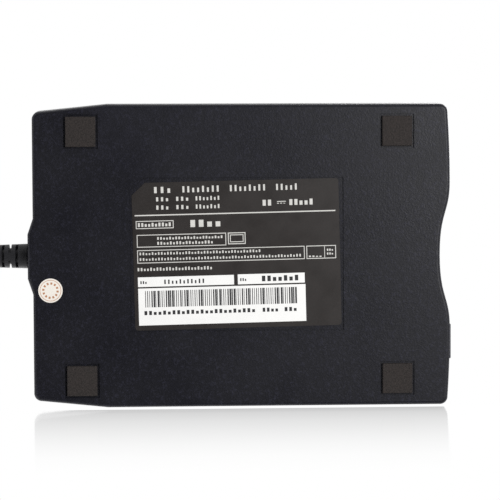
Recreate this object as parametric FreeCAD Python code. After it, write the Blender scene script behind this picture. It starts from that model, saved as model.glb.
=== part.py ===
import FreeCAD, Part
import math
import os

# Slim portable disk drive lying on its four feet.
# Millimetres, +Z up, the disk slot faces -Y, the cable leaves at +Y, origin under the middle.

V = FreeCAD.Vector

# Case
lower_height = 8.8
upper_height = 8.8
foot_stand = 0.8
wall = 1.6
draft = 0.7
bottom_wall = 1.6
top_wall = 1.5
corner_radius = 3.2
bottom_edge_radius = 1.2
top_edge_radius = 2.2
scoop_depth = 3.45
peak_x = 25.0
bow_radius = 354.0
taper_start = 45.0
taper_run_in = 2.6
bump_height = 1.8
bump_half_flat = 7.5
bump_half_foot = 12.8

# Feet, label and sticker on the underside
foot_size = 10.2
foot_seat_gap = 0.7
foot_seat_depth = 0.5
foot_inset_x = 9.8
foot_inset_y = 18.8
recess_depth = 0.35
recess_gap = (1.05, 1.15)
recess_corner = (4.2, 4.6)
label_length = 70.3
label_width = 50.1
label_place = (-0.5, 1.0)
label_turn = -1.2
label_corner = 1.2
sheet_print = 0.1
sticker_radius = 4.1
sticker_inset = (11.4, 8.3)

# Module: a slim drive on pads in the bottom cover
pad_height = 0.8
sheet = 0.8
module_front_gap = 8.2
module_side_room = 1.9
module_rear_gap = 2.5
lid_sheet = 0.4
lid_gap = 0.25
disk_width = 90.0
disk_length = 94.0
disk_room = 4.4
disk_side_gap = 0.45
carrier_sheet = 0.5
slide_sheet = 0.5
slide_gap = 0.2
wall_gap = 0.35
sheet_gap = 0.15
carrier_drop = 2.4
slide_travel = 5.5
pin_radius = 0.9
slot_gap = 0.1
pin_reach = (-27.9, 25.1)

# Spindle motor
board_sheet = 0.8
drive_board_reach = (24.2, 2.7)
drive_chip_side = 9.0
drive_chip_inset = 5.0
interface_chip_side = 7.0
interface_chip_x = 14.0
memory_size = (5.0, 4.0)
memory_x = 25.0
rotor_gap = 0.4
rotor_radius = 18.0
rotor_height = 2.6
rotor_shell = 0.8
hub_radius = 11.0
hub_height = 0.8
hub_pin_radius = 2.0
hub_pin_height = 1.5
drive_pin_radius = 0.9
drive_pin_place = 8.0
spindle_radius = 1.5
running_gap = 0.05
coil_count = 9
coil_in = 6.0
coil_out = 13.0
coil_wide = 3.4
coil_tall = 1.8
coil_band = 2.2
disk_sink = 0.2

# Heads
outer_track = 39.5
head_travel = 14.8
guide_radius = 1.5
guide_x = 12.0
screw_x = -13.0
screw_radius = 1.25
journal_radius = 0.9
motor_radius = 4.8
motor_length = 11.5
carriage_half = 6.5
carriage_length = 34.0
carriage_lead = 3.2
carriage_height = 2.8
head_size = (3.0, 2.4, 1.0)
arm_sheet = 0.6
arm_lift = 0.55
arm_half = 5.0
arm_reach = 30.0
latch_reach = 12.15
latch_rear_gap = 9.0
arm_angle = 9.0
pivot_radius = 0.6

# Front: bezel, flap, button and light
bezel_set_back = 0.9
bezel_flange = 1.0
window_side = 1.25
window_gap = 0.15
window_low = 2.45
window_high = 15.15
window_corner = 1.2
slot_side_gap = 0.45
flap_thickness = 0.7
flap_disk_gap = 1.6
flap_front_gap = 0.35
flap_radius = 0.75
flap_pin_radius = 0.4
button_width = 12.0
button_height = 4.2
button_x = 30.0
button_stand = 0.2
button_wall = 1.0
button_gap = 0.2
lamp_strip_half = 1.6
light_size = (4.0, 1.8)

# Interface board
board_length = 9.5
board_side_room = 10.0
board_front_gap = 1.6
board_rear_gap = 1.9
post_radius = 1.8

# Cable
cable_radius = 2.1
relief_radius = 4.225
relief_end_radius = 3.2
relief_length = 30.0
relief_core = 2.75
relief_neck_radius = 3.1
relief_flange_radius = 4.4
relief_flange = 1.5
groove_width = 0.9
groove_pitch = 2.33
groove_first = 3.0
groove_count = 10
groove_angle = 140.0
turn_pitch = 4.7
coil_radius = 26.5
coil_half_turns = 7
coil_centre_x = 14.0
plug_size = (16.0, 30.0, 8.0)
plug_shell_size = (12.0, 12.0, 4.5)
plug_shell_wall = 0.3
plug_lead = 30.0

# Levels and places that follow from the sizes above
base_z = foot_stand
parting_z = base_z + lower_height
top_z = parting_z + upper_height
floor_z = base_z + bottom_wall
ceiling_z = top_z - top_wall
cavity_inset = wall + draft
chassis_z = floor_z + pad_height
deck_z = chassis_z + sheet
motor_board_z = deck_z + board_sheet
rotor_z = motor_board_z + rotor_gap
rotor_top_z = rotor_z + rotor_height
hub_top_z = rotor_top_z + hub_height
seated_disk_z = hub_top_z - disk_sink
room_z = seated_disk_z - 0.55 + carrier_drop
room_top_z = room_z + disk_room
pin_z = room_z + disk_room / 2
slide_sheet_z = room_top_z + carrier_sheet + sheet_gap
lid_z = slide_sheet_z + slide_sheet + lid_gap
lid_top_z = lid_z + lid_sheet
carrier_inner = disk_width / 2 + disk_side_gap
carrier_outer = carrier_inner + carrier_sheet
slide_inner = carrier_outer + slide_gap
slide_outer = slide_inner + slide_sheet
chassis_inner = slide_outer + wall_gap
chassis_outer = chassis_inner + sheet
cavity_half = chassis_outer + module_side_room
case_width = 2 * (cavity_half + cavity_inset)
front_to_disk = scoop_depth + cavity_inset + flap_front_gap + flap_thickness + flap_disk_gap
disk_to_module_rear = disk_length / 2 + outer_track - carriage_lead + carriage_length + module_rear_gap
module_rear_to_end = board_front_gap + board_length + board_rear_gap + relief_flange + cavity_inset
case_length = front_to_disk + disk_to_module_rear + module_rear_to_end
case_front = -case_length / 2
case_rear = case_length / 2
sticker_place = (sticker_inset[0], case_rear - sticker_inset[1])
module_front = case_front + module_front_gap
module_rear = case_rear - module_rear_to_end
scoop_y = case_front + scoop_depth
flap_y = scoop_y + cavity_inset + flap_front_gap
flap_axis_y = flap_y + flap_radius
flap_axis_z = room_top_z + flap_radius + 0.05
flap_low_z = room_z - 0.2
carrier_front = flap_axis_y + (flap_axis_z - flap_low_z) + 0.8
disk_front = flap_y + flap_thickness + flap_disk_gap
disk_rear = disk_front + disk_length
hub_y = disk_front + disk_length / 2
head_y = hub_y + outer_track
pin_rows = [hub_y + reach for reach in pin_reach]
slot_half = carrier_inner + slot_side_gap
window_half = slot_half + window_side
window_z = (base_z + window_low, base_z + window_high)
foot_spacing_x = case_width - 2 * foot_inset_x
foot_spacing_y = case_length - 2 * foot_inset_y
foot_places = [(sx * foot_spacing_x / 2, sy * foot_spacing_y / 2) for sx in (-1, 1) for sy in (-1, 1)]
wall_y = case_rear - bump_height


def block(x0, x1, y0, y1, z0, z1):
    return Part.makeBox(x1 - x0, y1 - y0, z1 - z0, V(x0, y0, z0))


def upright(x, y, radius, z0, z1):
    return Part.makeCylinder(radius, z1 - z0, V(x, y, z0))


def rod_x(x0, x1, y, z, radius):
    return Part.makeCylinder(radius, x1 - x0, V(x0, y, z), V(1, 0, 0))


def rod_y(x, y0, y1, z, radius):
    return Part.makeCylinder(radius, y1 - y0, V(x, y0, z), V(0, 1, 0))


def fuse(*pieces):
    return pieces[0].multiFuse(list(pieces[1:])).removeSplitter()


def save(node, *solids):
    shape = solids[0] if len(solids) == 1 else Part.makeCompound(list(solids))
    shape.exportStep("parts/" + node + ".step")


def along_z(shape, radius):
    edges = [e for e in shape.Edges if abs(e.tangentAt(e.FirstParameter).z) > 0.99]
    return shape.makeFillet(radius, edges)


def edges_at(shape, z):
    return [e for e in shape.Edges if abs(e.BoundBox.ZMin - z) < 0.001 and abs(e.BoundBox.ZMax - z) < 0.001]


def plate(points, z0, z1):
    corners = [V(x, y, z0) for x, y in points]
    face = Part.Face(Part.makePolygon(corners + [corners[0]]))
    return face.extrude(V(0, 0, z1 - z0))


def arc_between(start, middle, end):
    return Part.Arc(start, middle, end).toShape()


def front_edges(shift, half, z):
    """The wave along the front from -X to +X: bow, peak, scoop, peak, bow, moved back by shift."""
    peak_y = case_front + shift
    scoop = peak_y + scoop_depth
    bow_centre = V(peak_x, peak_y + bow_radius, z)
    reach = half - peak_x

    def bow_point(x, side):
        return V(side * (peak_x + x), bow_centre.y - math.sqrt(bow_radius ** 2 - x ** 2), z)

    left_bow = arc_between(bow_point(reach, -1), bow_point(reach / 2, -1), bow_point(0, -1))
    left = Part.BezierCurve()
    left.setPoles([V(-peak_x, peak_y, z), V(-0.56 * peak_x, peak_y, z), V(-0.6 * peak_x, scoop, z), V(0, scoop, z)])
    right = Part.BezierCurve()
    right.setPoles([V(0, scoop, z), V(0.6 * peak_x, scoop, z), V(0.56 * peak_x, peak_y, z), V(peak_x, peak_y, z)])
    right_bow = arc_between(bow_point(0, 1), bow_point(reach / 2, 1), bow_point(reach, 1))
    return [left_bow, left.toShape(), right.toShape(), right_bow]


def front_corner(half, shift, radius, z):
    """Centre and contact points of the arc between the bow and the straight side."""
    big = V(peak_x, case_front + shift + bow_radius, z)
    centre_x = half - radius
    centre_y = big.y - math.sqrt((bow_radius - radius) ** 2 - (centre_x - peak_x) ** 2)
    centre = V(centre_x, centre_y, z)
    outward = (centre - big).normalize()
    return centre, centre + outward * radius


def rounded(before, corner, after, radius):
    """Contact points and middle of a fillet arc at a corner of a line path."""
    to_before = (before - corner).normalize()
    to_after = (after - corner).normalize()
    half_angle = to_before.getAngle(to_after) / 2
    reach = radius / math.tan(half_angle)
    inward = (to_before + to_after).normalize()
    centre = corner + inward * (radius / math.sin(half_angle))
    middle = centre - inward * radius
    return corner + to_before * reach, middle, corner + to_after * reach


def outline(inset, z):
    """Closed plan outline of the case, drawn in by inset all round."""
    half = case_width / 2 - inset
    radius = max(corner_radius - inset, 0.6)
    centre, contact = front_corner(half, inset, radius, z)
    edges = front_edges(inset, contact.x, z)
    angle = math.atan2(contact.y - centre.y, contact.x - centre.x) / 2
    bend = V(centre.x + radius * math.cos(angle), centre.y + radius * math.sin(angle), z)
    side = V(half, centre.y, z)
    edges.append(arc_between(edges[3].Vertexes[1].Point, bend, side))
    taper = V(half, taper_start, z)
    rear_corner = V(half - taper_run_in, wall_y - inset, z)
    foot = V(bump_half_foot, wall_y - inset, z)
    flat = V(bump_half_flat, case_rear - inset, z)
    into, middle, out_of = rounded(taper, rear_corner, foot, radius)
    edges.append(Part.LineSegment(side, taper).toShape())
    edges.append(Part.LineSegment(taper, into).toShape())
    edges.append(arc_between(into, middle, out_of))
    edges.append(Part.LineSegment(out_of, foot).toShape())
    edges.append(Part.LineSegment(foot, flat).toShape())
    edges.append(Part.LineSegment(flat, V(-flat.x, flat.y, z)).toShape())
    mirror = [e.mirror(V(0, 0, 0), V(1, 0, 0)) for e in reversed(edges[4:10])]
    return Part.Wire(Part.__sortEdges__(edges + mirror))


def tapered(low_inset, low_z, high_inset, high_z):
    return Part.makeLoft([outline(low_inset, low_z), outline(high_inset, high_z)], True, True)


def square_seats(size, z0, z1):
    return [block(x - size / 2, x + size / 2, y - size / 2, y + size / 2, z0, z1) for x, y in foot_places]


def front_window(gap):
    """Rounded block through the front wall, drawn in by gap for the bezel that fills it."""
    half = window_half - gap
    cut = block(-half, half, case_front - 5, scoop_y + cavity_inset + 1.5, window_z[0] + gap, window_z[1] - gap)
    edges = [e for e in cut.Edges if abs(e.tangentAt(e.FirstParameter).y) > 0.99]
    return cut.makeFillet(window_corner - gap, edges)


def cable_hole():
    return rod_y(0, wall_y - cavity_inset - 5, case_rear + 5, parting_z, relief_neck_radius + 0.02)


def hook_places():
    return [(side, y) for side in (-1, 1) for y in (-30.0, 5.0, 38.0)]


def hook(side, y, grow):
    """One snap hook of the top cover, or its pocket when grow is above zero."""
    nose = block(cavity_half - 0.2, cavity_half + 0.5 + grow, y - 3 - grow, y + 3 + grow,
                 parting_z - 4.4 - grow, parting_z - 3.2 + grow)
    return nose if side > 0 else nose.mirror(V(0, 0, 0), V(1, 0, 0))


def hook_arm(side, y):
    arm = block(cavity_half - 1.3, cavity_half - 0.1, y - 3, y + 3, parting_z - 4.8, parting_z + 4)
    root = block(cavity_half - 1.3, cavity_half + 0.2, y - 3, y + 3, parting_z + 2, parting_z + 4)
    both = arm.fuse(root)
    return both if side > 0 else both.mirror(V(0, 0, 0), V(1, 0, 0))


def bottom_cover():
    body = tapered(draft, base_z, 0.0, parting_z)
    body = body.makeFillet(bottom_edge_radius, edges_at(body, base_z))
    hollow = tapered(cavity_inset, floor_z, cavity_inset, parting_z + 1)
    pads = [upright(x, y, 3.8, floor_z - 0.2, chassis_z) for x, y in foot_places]
    posts = [upright(x, y, post_radius, floor_z - 0.2, board_z) for x, y in board_posts]
    ribs = [block(-40, 40, y - 0.6, y + 0.6, floor_z - 0.2, chassis_z) for y in (-22.0, 24.0)]
    body = fuse(body.cut(hollow), *pads, *posts, *ribs)
    middle_x, middle_y = label_place
    x0, x1 = middle_x - label_width / 2 - recess_gap[0], middle_x + label_width / 2 + recess_gap[0]
    y0, y1 = middle_y - label_length / 2 - recess_gap[1], middle_y + label_length / 2 + recess_gap[1]
    recess = plate([(x0, y0), (x1, y0), (x1, y1), (x0 + recess_corner[0], y1), (x0, y1 - recess_corner[1])],
                   base_z - 1, base_z + recess_depth)
    seats = square_seats(foot_size + 2 * foot_seat_gap, base_z - 1, base_z + foot_seat_depth)
    bores = [upright(x, y, 1.25, base_z, chassis_z + 1) for x, y in foot_places]
    heads = [upright(x, y, 2.4, base_z, head_seat_z) for x, y in foot_places]
    pockets = [hook(side, y, 0.15) for side, y in hook_places()]
    cutters = [recess, front_window(0), cable_hole()] + seats + bores + heads + pockets
    return body.cut(Part.makeCompound(cutters))


def top_cover():
    body = tapered(0.0, parting_z, draft + 0.2, top_z)
    body = body.makeFillet(top_edge_radius, edges_at(body, top_z))
    hollow = tapered(cavity_inset, parting_z - 1, cavity_inset, ceiling_z)
    ribs = [block(-40, 40, y - 0.6, y + 0.6, lid_top_z, ceiling_z + 0.2) for y in (-30.0, 0.0, 30.0)]
    hooks = [hook_arm(side, y) for side, y in hook_places()]
    noses = [hook(side, y, 0) for side, y in hook_places()]
    body = fuse(body.cut(hollow), *ribs, *hooks, *noses)
    return body.cut(Part.makeCompound([front_window(0), cable_hole()]))


def wave_band(near, far, half, z0, z1):
    """A band that follows the front wave between two set-backs."""
    front = front_edges(near, half, z0)
    back = front_edges(far, half, z0)
    left = Part.LineSegment(back[0].Vertexes[0].Point, front[0].Vertexes[0].Point).toShape()
    right = Part.LineSegment(front[3].Vertexes[1].Point, back[3].Vertexes[1].Point).toShape()
    wire = Part.Wire(Part.__sortEdges__(front + [right] + back + [left]))
    return Part.Face(wire).extrude(V(0, 0, z1 - z0))


def button_box(grow, y0, y1):
    half = button_width / 2 + grow
    tall = button_height / 2 + grow
    return block(button_x - half, button_x + half, y0, y1, button_z - tall, button_z + tall)


def light_box(grow, y0, y1):
    half = light_size[0] / 2 + grow
    tall = light_size[1] / 2 + grow
    return block(light_x - half, light_x + half, y0, y1, button_z - tall, button_z + tall)


def front_bezel():
    half = window_half - window_gap
    inner = cavity_inset + 0.05
    plate_part = wave_band(bezel_set_back, inner, half, base_z, top_z).common(front_window(window_gap))
    flange = wave_band(inner - 0.01, inner + bezel_flange, half + 1.2, floor_z + 0.1, lid_top_z)
    pocket = block(-slot_half - 0.3, slot_half + 0.3, flap_y - 0.2, flap_y + 9, flap_low_z - 0.2, lid_top_z + 1)
    slot = block(-slot_half, slot_half, case_front - 5, flap_y + 9, room_z, room_top_z)
    ears = [block(x0, x1, case_front + inner + 0.95, flap_axis_y + 1.2, flap_axis_z - 1, lid_top_z)
            for x0, x1 in ((-ear_outer, -ear_inner), (ear_inner, ear_outer))]
    pin_hole = rod_x(-ear_outer + 0.3, ear_outer - 0.3, flap_axis_y, flap_axis_z, flap_pin_radius)
    body = fuse(plate_part, flange).cut(Part.makeCompound([pocket, slot]))
    body = fuse(body, *ears)
    holes = [pin_hole, button_box(button_gap, case_front - 5, scoop_y + 9), light_box(0, case_front - 5, scoop_y + 9)]
    return body.cut(Part.makeCompound(holes))


def door_flap():
    leaf = block(-slot_half, slot_half, flap_y, flap_y + flap_thickness, flap_low_z, flap_axis_z)
    barrel = rod_x(-slot_half, slot_half, flap_axis_y, flap_axis_z, flap_radius)
    bore = rod_x(-slot_half - 1, slot_half + 1, flap_axis_y, flap_axis_z, flap_pin_radius + running_gap)
    return fuse(leaf, barrel).cut(bore)


def eject_button():
    tip = case_front - button_stand
    cap = button_box(0, tip, tab_y)
    cap = cap.makeFillet(0.5, [e for e in cap.Edges if e.BoundBox.YMax < tip + 0.001])
    hollow = block(button_x - button_width / 2 + button_wall, button_x + button_width / 2 - button_wall, tip + 3,
                   tab_y + 1, button_z - button_height / 2 + button_wall, button_z + button_height / 2 - button_wall)
    return cap.cut(hollow)


def light_pipe():
    lens = light_box(0, case_front + bezel_set_back - 0.1, light_y)
    return lens.cut(wave_band(-3, bezel_set_back, window_half - 1, base_z, top_z))


def lamp():
    body = rod_y(light_x, light_y + 0.05, light_y + 2.5, button_z, 0.9)
    base = block(light_x - 1.2, light_x + 1.2, light_y + 1.2, light_y + 3, motor_board_z, button_z)
    return fuse(body, base)


def chassis():
    tray = block(-chassis_outer, chassis_outer, module_front, module_rear, chassis_z, lid_z)
    inside = block(-chassis_inner, chassis_inner, module_front - 1, module_rear - sheet, deck_z, lid_z + 1)
    back_cut = block(-chassis_inner, chassis_inner, module_rear - 2, module_rear + 1, deck_z + 4, lid_z + 1)
    motor_bed = block(screw_x - motor_radius - 0.6, screw_x + motor_radius + 0.6, motor_y - 0.6, module_rear + 1,
                      chassis_z - 1, screw_z)
    weight_window = block(20, 38, hub_y + 9.1, hub_y + 41.1, chassis_z - 1, deck_z + 1)
    slots = [block(-chassis_outer - 1, chassis_outer + 1, y - pin_radius - slot_gap, y + pin_radius + slot_gap,
                   pin_z - carrier_drop - pin_radius - slot_gap, pin_z + pin_radius + slot_gap) for y in pin_rows]
    nuts = [upright(x, y, 2.4, chassis_z, deck_z + 1.6) for x, y in foot_places]
    threads = [upright(x, y, 1.0, chassis_z - 1, deck_z + 3) for x, y in foot_places]
    body = tray.cut(Part.makeCompound([inside, back_cut, motor_bed, weight_window] + slots))
    return fuse(body, *nuts).cut(Part.makeCompound(threads))


def chassis_lid():
    sheet_part = block(-chassis_outer, chassis_outer, carrier_front, module_rear, lid_z, lid_top_z)
    window = block(-arm_half - 3, arm_half + 3, hub_y + 6, module_rear - 12, lid_z - 1, lid_top_z + 1)
    return sheet_part.cut(window)


def cam_slot(y):
    """Slanted slot: the pin sinks by the drop while the slide runs forward by its travel."""
    start = (y, pin_z)
    end = (y + slide_travel, pin_z - carrier_drop)
    radius = pin_radius + slot_gap
    slant = math.atan2(end[1] - start[1], end[0] - start[0])
    across = (-math.sin(slant) * radius, math.cos(slant) * radius)
    corners = [(start[0] + across[0], start[1] + across[1]), (end[0] + across[0], end[1] + across[1]),
               (end[0] - across[0], end[1] - across[1]), (start[0] - across[0], start[1] - across[1])]
    reach = slide_outer + 2
    points = [V(-reach, cy, cz) for cy, cz in corners]
    bar = Part.Face(Part.makePolygon(points + [points[0]])).extrude(V(2 * reach, 0, 0))
    ends = [rod_x(-reach, reach, cy, cz, radius) for cy, cz in (start, end)]
    return fuse(bar, *ends)


def slide_plate():
    low = pin_z - carrier_drop - pin_radius - 1.0
    front = carrier_front + slide_travel
    rear = pin_rows[1] + slide_travel + 5
    block_all = block(-slide_outer, slide_outer, front, rear, low, slide_sheet_z + slide_sheet)
    inside = block(-slide_inner, slide_inner, front - 1, rear + 1, low - 1, slide_sheet_z)
    window = block(-30, 30, hub_y - 20, rear + 1, slide_sheet_z - 1, slide_sheet_z + 2)
    relief = block(-slide_outer - 1, slide_outer + 1, pin_rows[0] + 12, pin_rows[1] - 6, low - 1, pin_z + 0.6)
    body = block_all.cut(Part.makeCompound([inside, window, relief]))
    arm = block(slide_inner, slide_outer, tab_y, front + 8, button_z - 1.8, low + 2)
    tab = block(button_x, slide_outer, tab_y, tab_y + slide_sheet, button_z - 1.8, button_z + 1.8)
    lever_x, lever_y = latch_place
    runner = block(-slide_outer, -slide_inner, rear - 1, lever_y + 1.9, low, low + 2)
    catch = block(-slide_outer, lever_x - 7.8, lever_y + 1.4, lever_y + 1.9, low, low + 2)
    x, z, y0, y1 = spring_line()
    lugs = [block(x0, x1, y1 - 1.2, y1 + 1.2, z - 0.8, low + 1)
            for x0, x1 in ((-slide_outer, -slide_inner), (slide_inner, slide_outer))]
    pegs = [rod_x(x - 0.8, slide_inner + 0.1, y1, z, 0.5), rod_x(-slide_inner - 0.1, 0.8 - x, y1, z, 0.5)]
    body = fuse(body, arm, tab, runner, catch, *lugs, *pegs)
    return body.cut(Part.makeCompound([cam_slot(y) for y in pin_rows]))


def disk_carrier():
    low = room_z - carrier_sheet
    rear = disk_rear - 4
    shell = block(-carrier_outer, carrier_outer, carrier_front, rear, low, room_top_z + carrier_sheet)
    inside = block(-carrier_inner, carrier_inner, carrier_front - 1, rear + 1, room_z, room_top_z)
    under = block(-carrier_inner + 3, carrier_inner - 3, carrier_front - 1, rear + 1, low - 1, room_z + 1)
    head_window = block(-arm_half - 2.5, arm_half + 2.5, hub_y + 4, rear + 1, room_top_z - 1, room_top_z + 2)
    sight = upright(0, hub_y - 12, 9, room_top_z - 1, room_top_z + 2)
    return shell.cut(Part.makeCompound([inside, under, head_window, sight]))


def carrier_pins():
    pins = []
    for y in pin_rows:
        pins.append(rod_x(carrier_outer, chassis_outer + 0.4, y, pin_z, pin_radius))
        pins.append(rod_x(-chassis_outer - 0.4, -carrier_outer, y, pin_z, pin_radius))
    return pins


def latch_lever():
    """Flat lever on a post behind the disk."""
    z0 = deck_z + 3.0
    x, y = latch_place
    boss = upright(x, y, 3.2, z0, z0 + 3.0)
    arm = plate([(x - 2, y), (x + 2, y), (x + 7.5, y - 6.6), (x + 5.5, y - 7.6)], z0 + 1, z0 + 2)
    tail = plate([(x, y - 2), (x, y + 2), (x - 8.8, y + 1.2), (x - 8.8, y - 1.2)], z0 + 1, z0 + 2)
    return fuse(boss, arm, tail).cut(upright(x, y, 1.2 + running_gap, z0 - 1, z0 + 4))


def latch_post():
    x, y = latch_place
    return fuse(upright(x, y, 2.4, deck_z, deck_z + 2.9), upright(x, y, 1.2, deck_z + 2.5, deck_z + 7))


def motor_board():
    plate_part = block(-30, 30, hub_y - 28, hub_y + rotor_radius + 1, deck_z, motor_board_z)
    strip = block(light_x - lamp_strip_half, -29, hub_y - 28, hub_y - 16, deck_z, motor_board_z)
    lead = block(light_x - lamp_strip_half, light_x + lamp_strip_half, light_y + 0.6, hub_y - 17, deck_z, motor_board_z)
    return fuse(plate_part, strip, lead).cut(upright(0, hub_y, spindle_radius + 1.5, deck_z - 1, motor_board_z + 1))


def spindle_bearing():
    tube = upright(0, hub_y, spindle_radius + 1.5, deck_z, rotor_z + 0.8)
    return tube.cut(upright(0, hub_y, spindle_radius + running_gap, deck_z + 0.4, top_z))


def stator_coils():
    """Flat wedge coils on the board in a ring under the rotor's cup."""
    coils = []
    for index in range(coil_count):
        turn = 360.0 * index / coil_count
        ring = block(coil_in, coil_out, -coil_wide / 2, coil_wide / 2, motor_board_z, motor_board_z + coil_tall)
        hole = block(coil_in + coil_band, coil_out - coil_band, -0.5, 0.5, motor_board_z - 1, rotor_top_z)
        ring = ring.cut(hole)
        ring.rotate(V(0, 0, 0), V(0, 0, 1), turn)
        ring.translate(V(0, hub_y, 0))
        coils.append(ring)
    return coils


def rotor():
    cup = upright(0, hub_y, rotor_radius, rotor_z, rotor_top_z)
    inside = upright(0, hub_y, rotor_radius - 3.2, rotor_z - 1, rotor_top_z - rotor_shell)
    axle = upright(0, hub_y, spindle_radius, deck_z + 0.6, rotor_top_z)
    return fuse(cup.cut(inside), axle)


def spindle_hub():
    disc = upright(0, hub_y, hub_radius, rotor_top_z, hub_top_z)
    pin = upright(0, hub_y, hub_pin_radius, hub_top_z - 0.1, hub_top_z + hub_pin_height)
    pin = pin.makeChamfer(0.4, edges_at(pin, hub_top_z + hub_pin_height))
    slot = upright(0, hub_y + drive_pin_place, drive_pin_radius, hub_top_z - hub_height / 2, top_z)
    return fuse(disc, pin).cut(slot)


def drive_pin():
    return upright(0, hub_y + drive_pin_place, drive_pin_radius, hub_top_z - hub_height / 2, hub_top_z + 1.0)


def carriage():
    """Moulded sled: platform under the disk, two rod bearings and a nut arm on the screw."""
    z0 = guide_z - 1.4
    z1 = z0 + carriage_height
    base = block(-carriage_half, guide_x + 3.0, carriage_y, carriage_y + carriage_length, z0, z1)
    notch = block(3.5, guide_x + 4, carriage_y - 1, carriage_y + 11, z0 - 1, z1 + 1)
    middle = block(guide_x - 3, guide_x + 4, carriage_y + 18, carriage_y + 27, z0 - 1, z1 + 1)
    housing = rod_y(guide_x, carriage_y + 11, carriage_y + 18, guide_z, guide_radius + 1.0)
    housing2 = rod_y(guide_x, carriage_y + 27, carriage_y + 34, guide_z, guide_radius + 1.0)
    posts = [block(x0, x1, arm_pivot_y - 1.6, arm_pivot_y + 1.6, z1 - 0.2, arm_pivot_z + 1.3)
             for x0, x1 in ((-carriage_half, -arm_half + 0.4), (arm_half - 0.4, carriage_half))]
    nut = block(screw_x - 2.4, -carriage_half + 0.2, nut_y, nut_y + 3.5, screw_z - 2.4, z1)
    body = fuse(base.cut(Part.makeCompound([notch, middle])), housing, housing2, *posts, nut)
    bore = rod_y(guide_x, carriage_y - 1, carriage_y + carriage_length + 1, guide_z, guide_radius + running_gap)
    thread = rod_y(screw_x, nut_y - 1, nut_y + 5, screw_z, screw_radius + running_gap)
    pivot = rod_x(-carriage_half - 1, carriage_half + 1, arm_pivot_y, arm_pivot_z, pivot_radius)
    return body.cut(Part.makeCompound([bore, thread, pivot]))


def lower_head():
    wide, deep, tall = head_size
    z0 = guide_z - 1.4 + carriage_height
    top = seated_disk_z + 1.6
    spring_plate = block(-3.2, 3.2, head_y - 3.0, head_y + 3.0, z0, z0 + 0.3)
    slider = block(-wide / 2, wide / 2, head_y - deep / 2, head_y + deep / 2, z0 + 0.3, top)
    return fuse(spring_plate, slider)


def upper_arm():
    """Thin arm over the disk, hinged at the back of the sled, raised at rest."""
    z0 = room_top_z + arm_lift
    beam = block(-arm_half + 1.2, arm_half - 1.2, head_y - 3, arm_pivot_y, z0, z0 + arm_sheet)
    web = block(-arm_half + 0.6, arm_half - 0.6, arm_pivot_y - 3.9, arm_pivot_y, arm_pivot_z - 0.4,
                z0 + arm_sheet)
    barrel = rod_x(-arm_half + 0.6, arm_half - 0.6, arm_pivot_y, arm_pivot_z, 1.3)
    bore = rod_x(-arm_half, arm_half, arm_pivot_y, arm_pivot_z, pivot_radius + running_gap)
    slit = block(-1.2, 1.2, head_y + 5, arm_pivot_y - 7, z0 - 1, z0 + 2)
    return fuse(beam, web, barrel).cut(bore).cut(slit)


def upper_head():
    wide, deep, tall = head_size
    z0 = room_top_z + arm_lift
    return block(-wide / 2, wide / 2, head_y - deep / 2, head_y + deep / 2, z0 - tall / 2, z0)


def arm_pivot():
    return rod_x(-carriage_half, carriage_half, arm_pivot_y, arm_pivot_z, pivot_radius)


def guide_rod():
    return rod_y(guide_x, rod_start, module_rear - sheet, guide_z, guide_radius)


def rod_clamp():
    foot = block(guide_x - 4, guide_x + 4, rod_start, rod_start + 2.4, deck_z, guide_z + 2.4)
    return foot.cut(rod_y(guide_x, rod_start - 1, rod_start + 4, guide_z, guide_radius))


def lead_screw():
    shaft = rod_y(screw_x, screw_start + 3.2, motor_y - 0.6, screw_z, screw_radius)
    nose = rod_y(screw_x, screw_start + 0.2, screw_start + 4, screw_z, journal_radius)
    tail = rod_y(screw_x, motor_y - 1, motor_y + 4, screw_z, journal_radius)
    return fuse(shaft, nose, tail)


def screw_bracket():
    foot = block(screw_x - 3.5, screw_x + 3.5, screw_start, screw_start + 3, deck_z, screw_z + 2.2)
    return foot.cut(rod_y(screw_x, screw_start - 1, screw_start + 4, screw_z, journal_radius + running_gap))


def stepper_motor():
    can = rod_y(screw_x, motor_y, motor_y + motor_length, screw_z, motor_radius)
    flange = block(screw_x - 6.3, screw_x + 6.3, motor_y, motor_y + 0.8, deck_z, screw_z + 2)
    body = fuse(can, flange)
    return body.cut(rod_y(screw_x, motor_y - 1, motor_y + 4.2, screw_z, journal_radius + running_gap))


def drive_board():
    return block(*drive_board_x, disk_rear + 2, module_rear - 3, deck_z + 1.2, deck_z + 2.0)


def drive_board_parts():
    z = deck_z + 2.0
    y = disk_rear + 2
    left, right = drive_board_x
    chip_x = left + drive_chip_inset
    chip = block(chip_x, chip_x + drive_chip_side, y + 3, y + 3 + drive_chip_side, z, z + 1.2)
    socket = block(*ribbon_x, module_rear - 8, module_rear - 4, z, ribbon_z)
    caps = [block(left + 2, left + 3.5, y + 3 + 3 * n, y + 4 + 3 * n, z, z + 0.8) for n in range(4)]
    spacers = [block(left + 1, right - 1, yy, yy + 1.5, deck_z, deck_z + 1.2) for yy in (y, module_rear - 4.6)]
    return [chip, socket] + caps + spacers


def switch_place(index):
    side = (-1, 1)[index]
    return side * switch_x, switch_y


def switch_bodies():
    bodies = []
    for index in (0, 1):
        x, y = switch_place(index)
        body = block(x - 2.2, x + 2.2, y - 2.2, y + 2.2, deck_z, deck_z + 2.6)
        bodies.append(body.cut(upright(x, y, 0.8 + running_gap, deck_z + 0.8, deck_z + 4)))
    return bodies


def plunger(index):
    x, y = switch_place(index)
    return upright(x, y, 0.8, deck_z + 1.8, seated_disk_z + 0.3)


def interface_board():
    board = block(-board_width / 2, board_width / 2, board_y, board_y + board_length, board_z, board_z + board_sheet)
    return board


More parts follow.
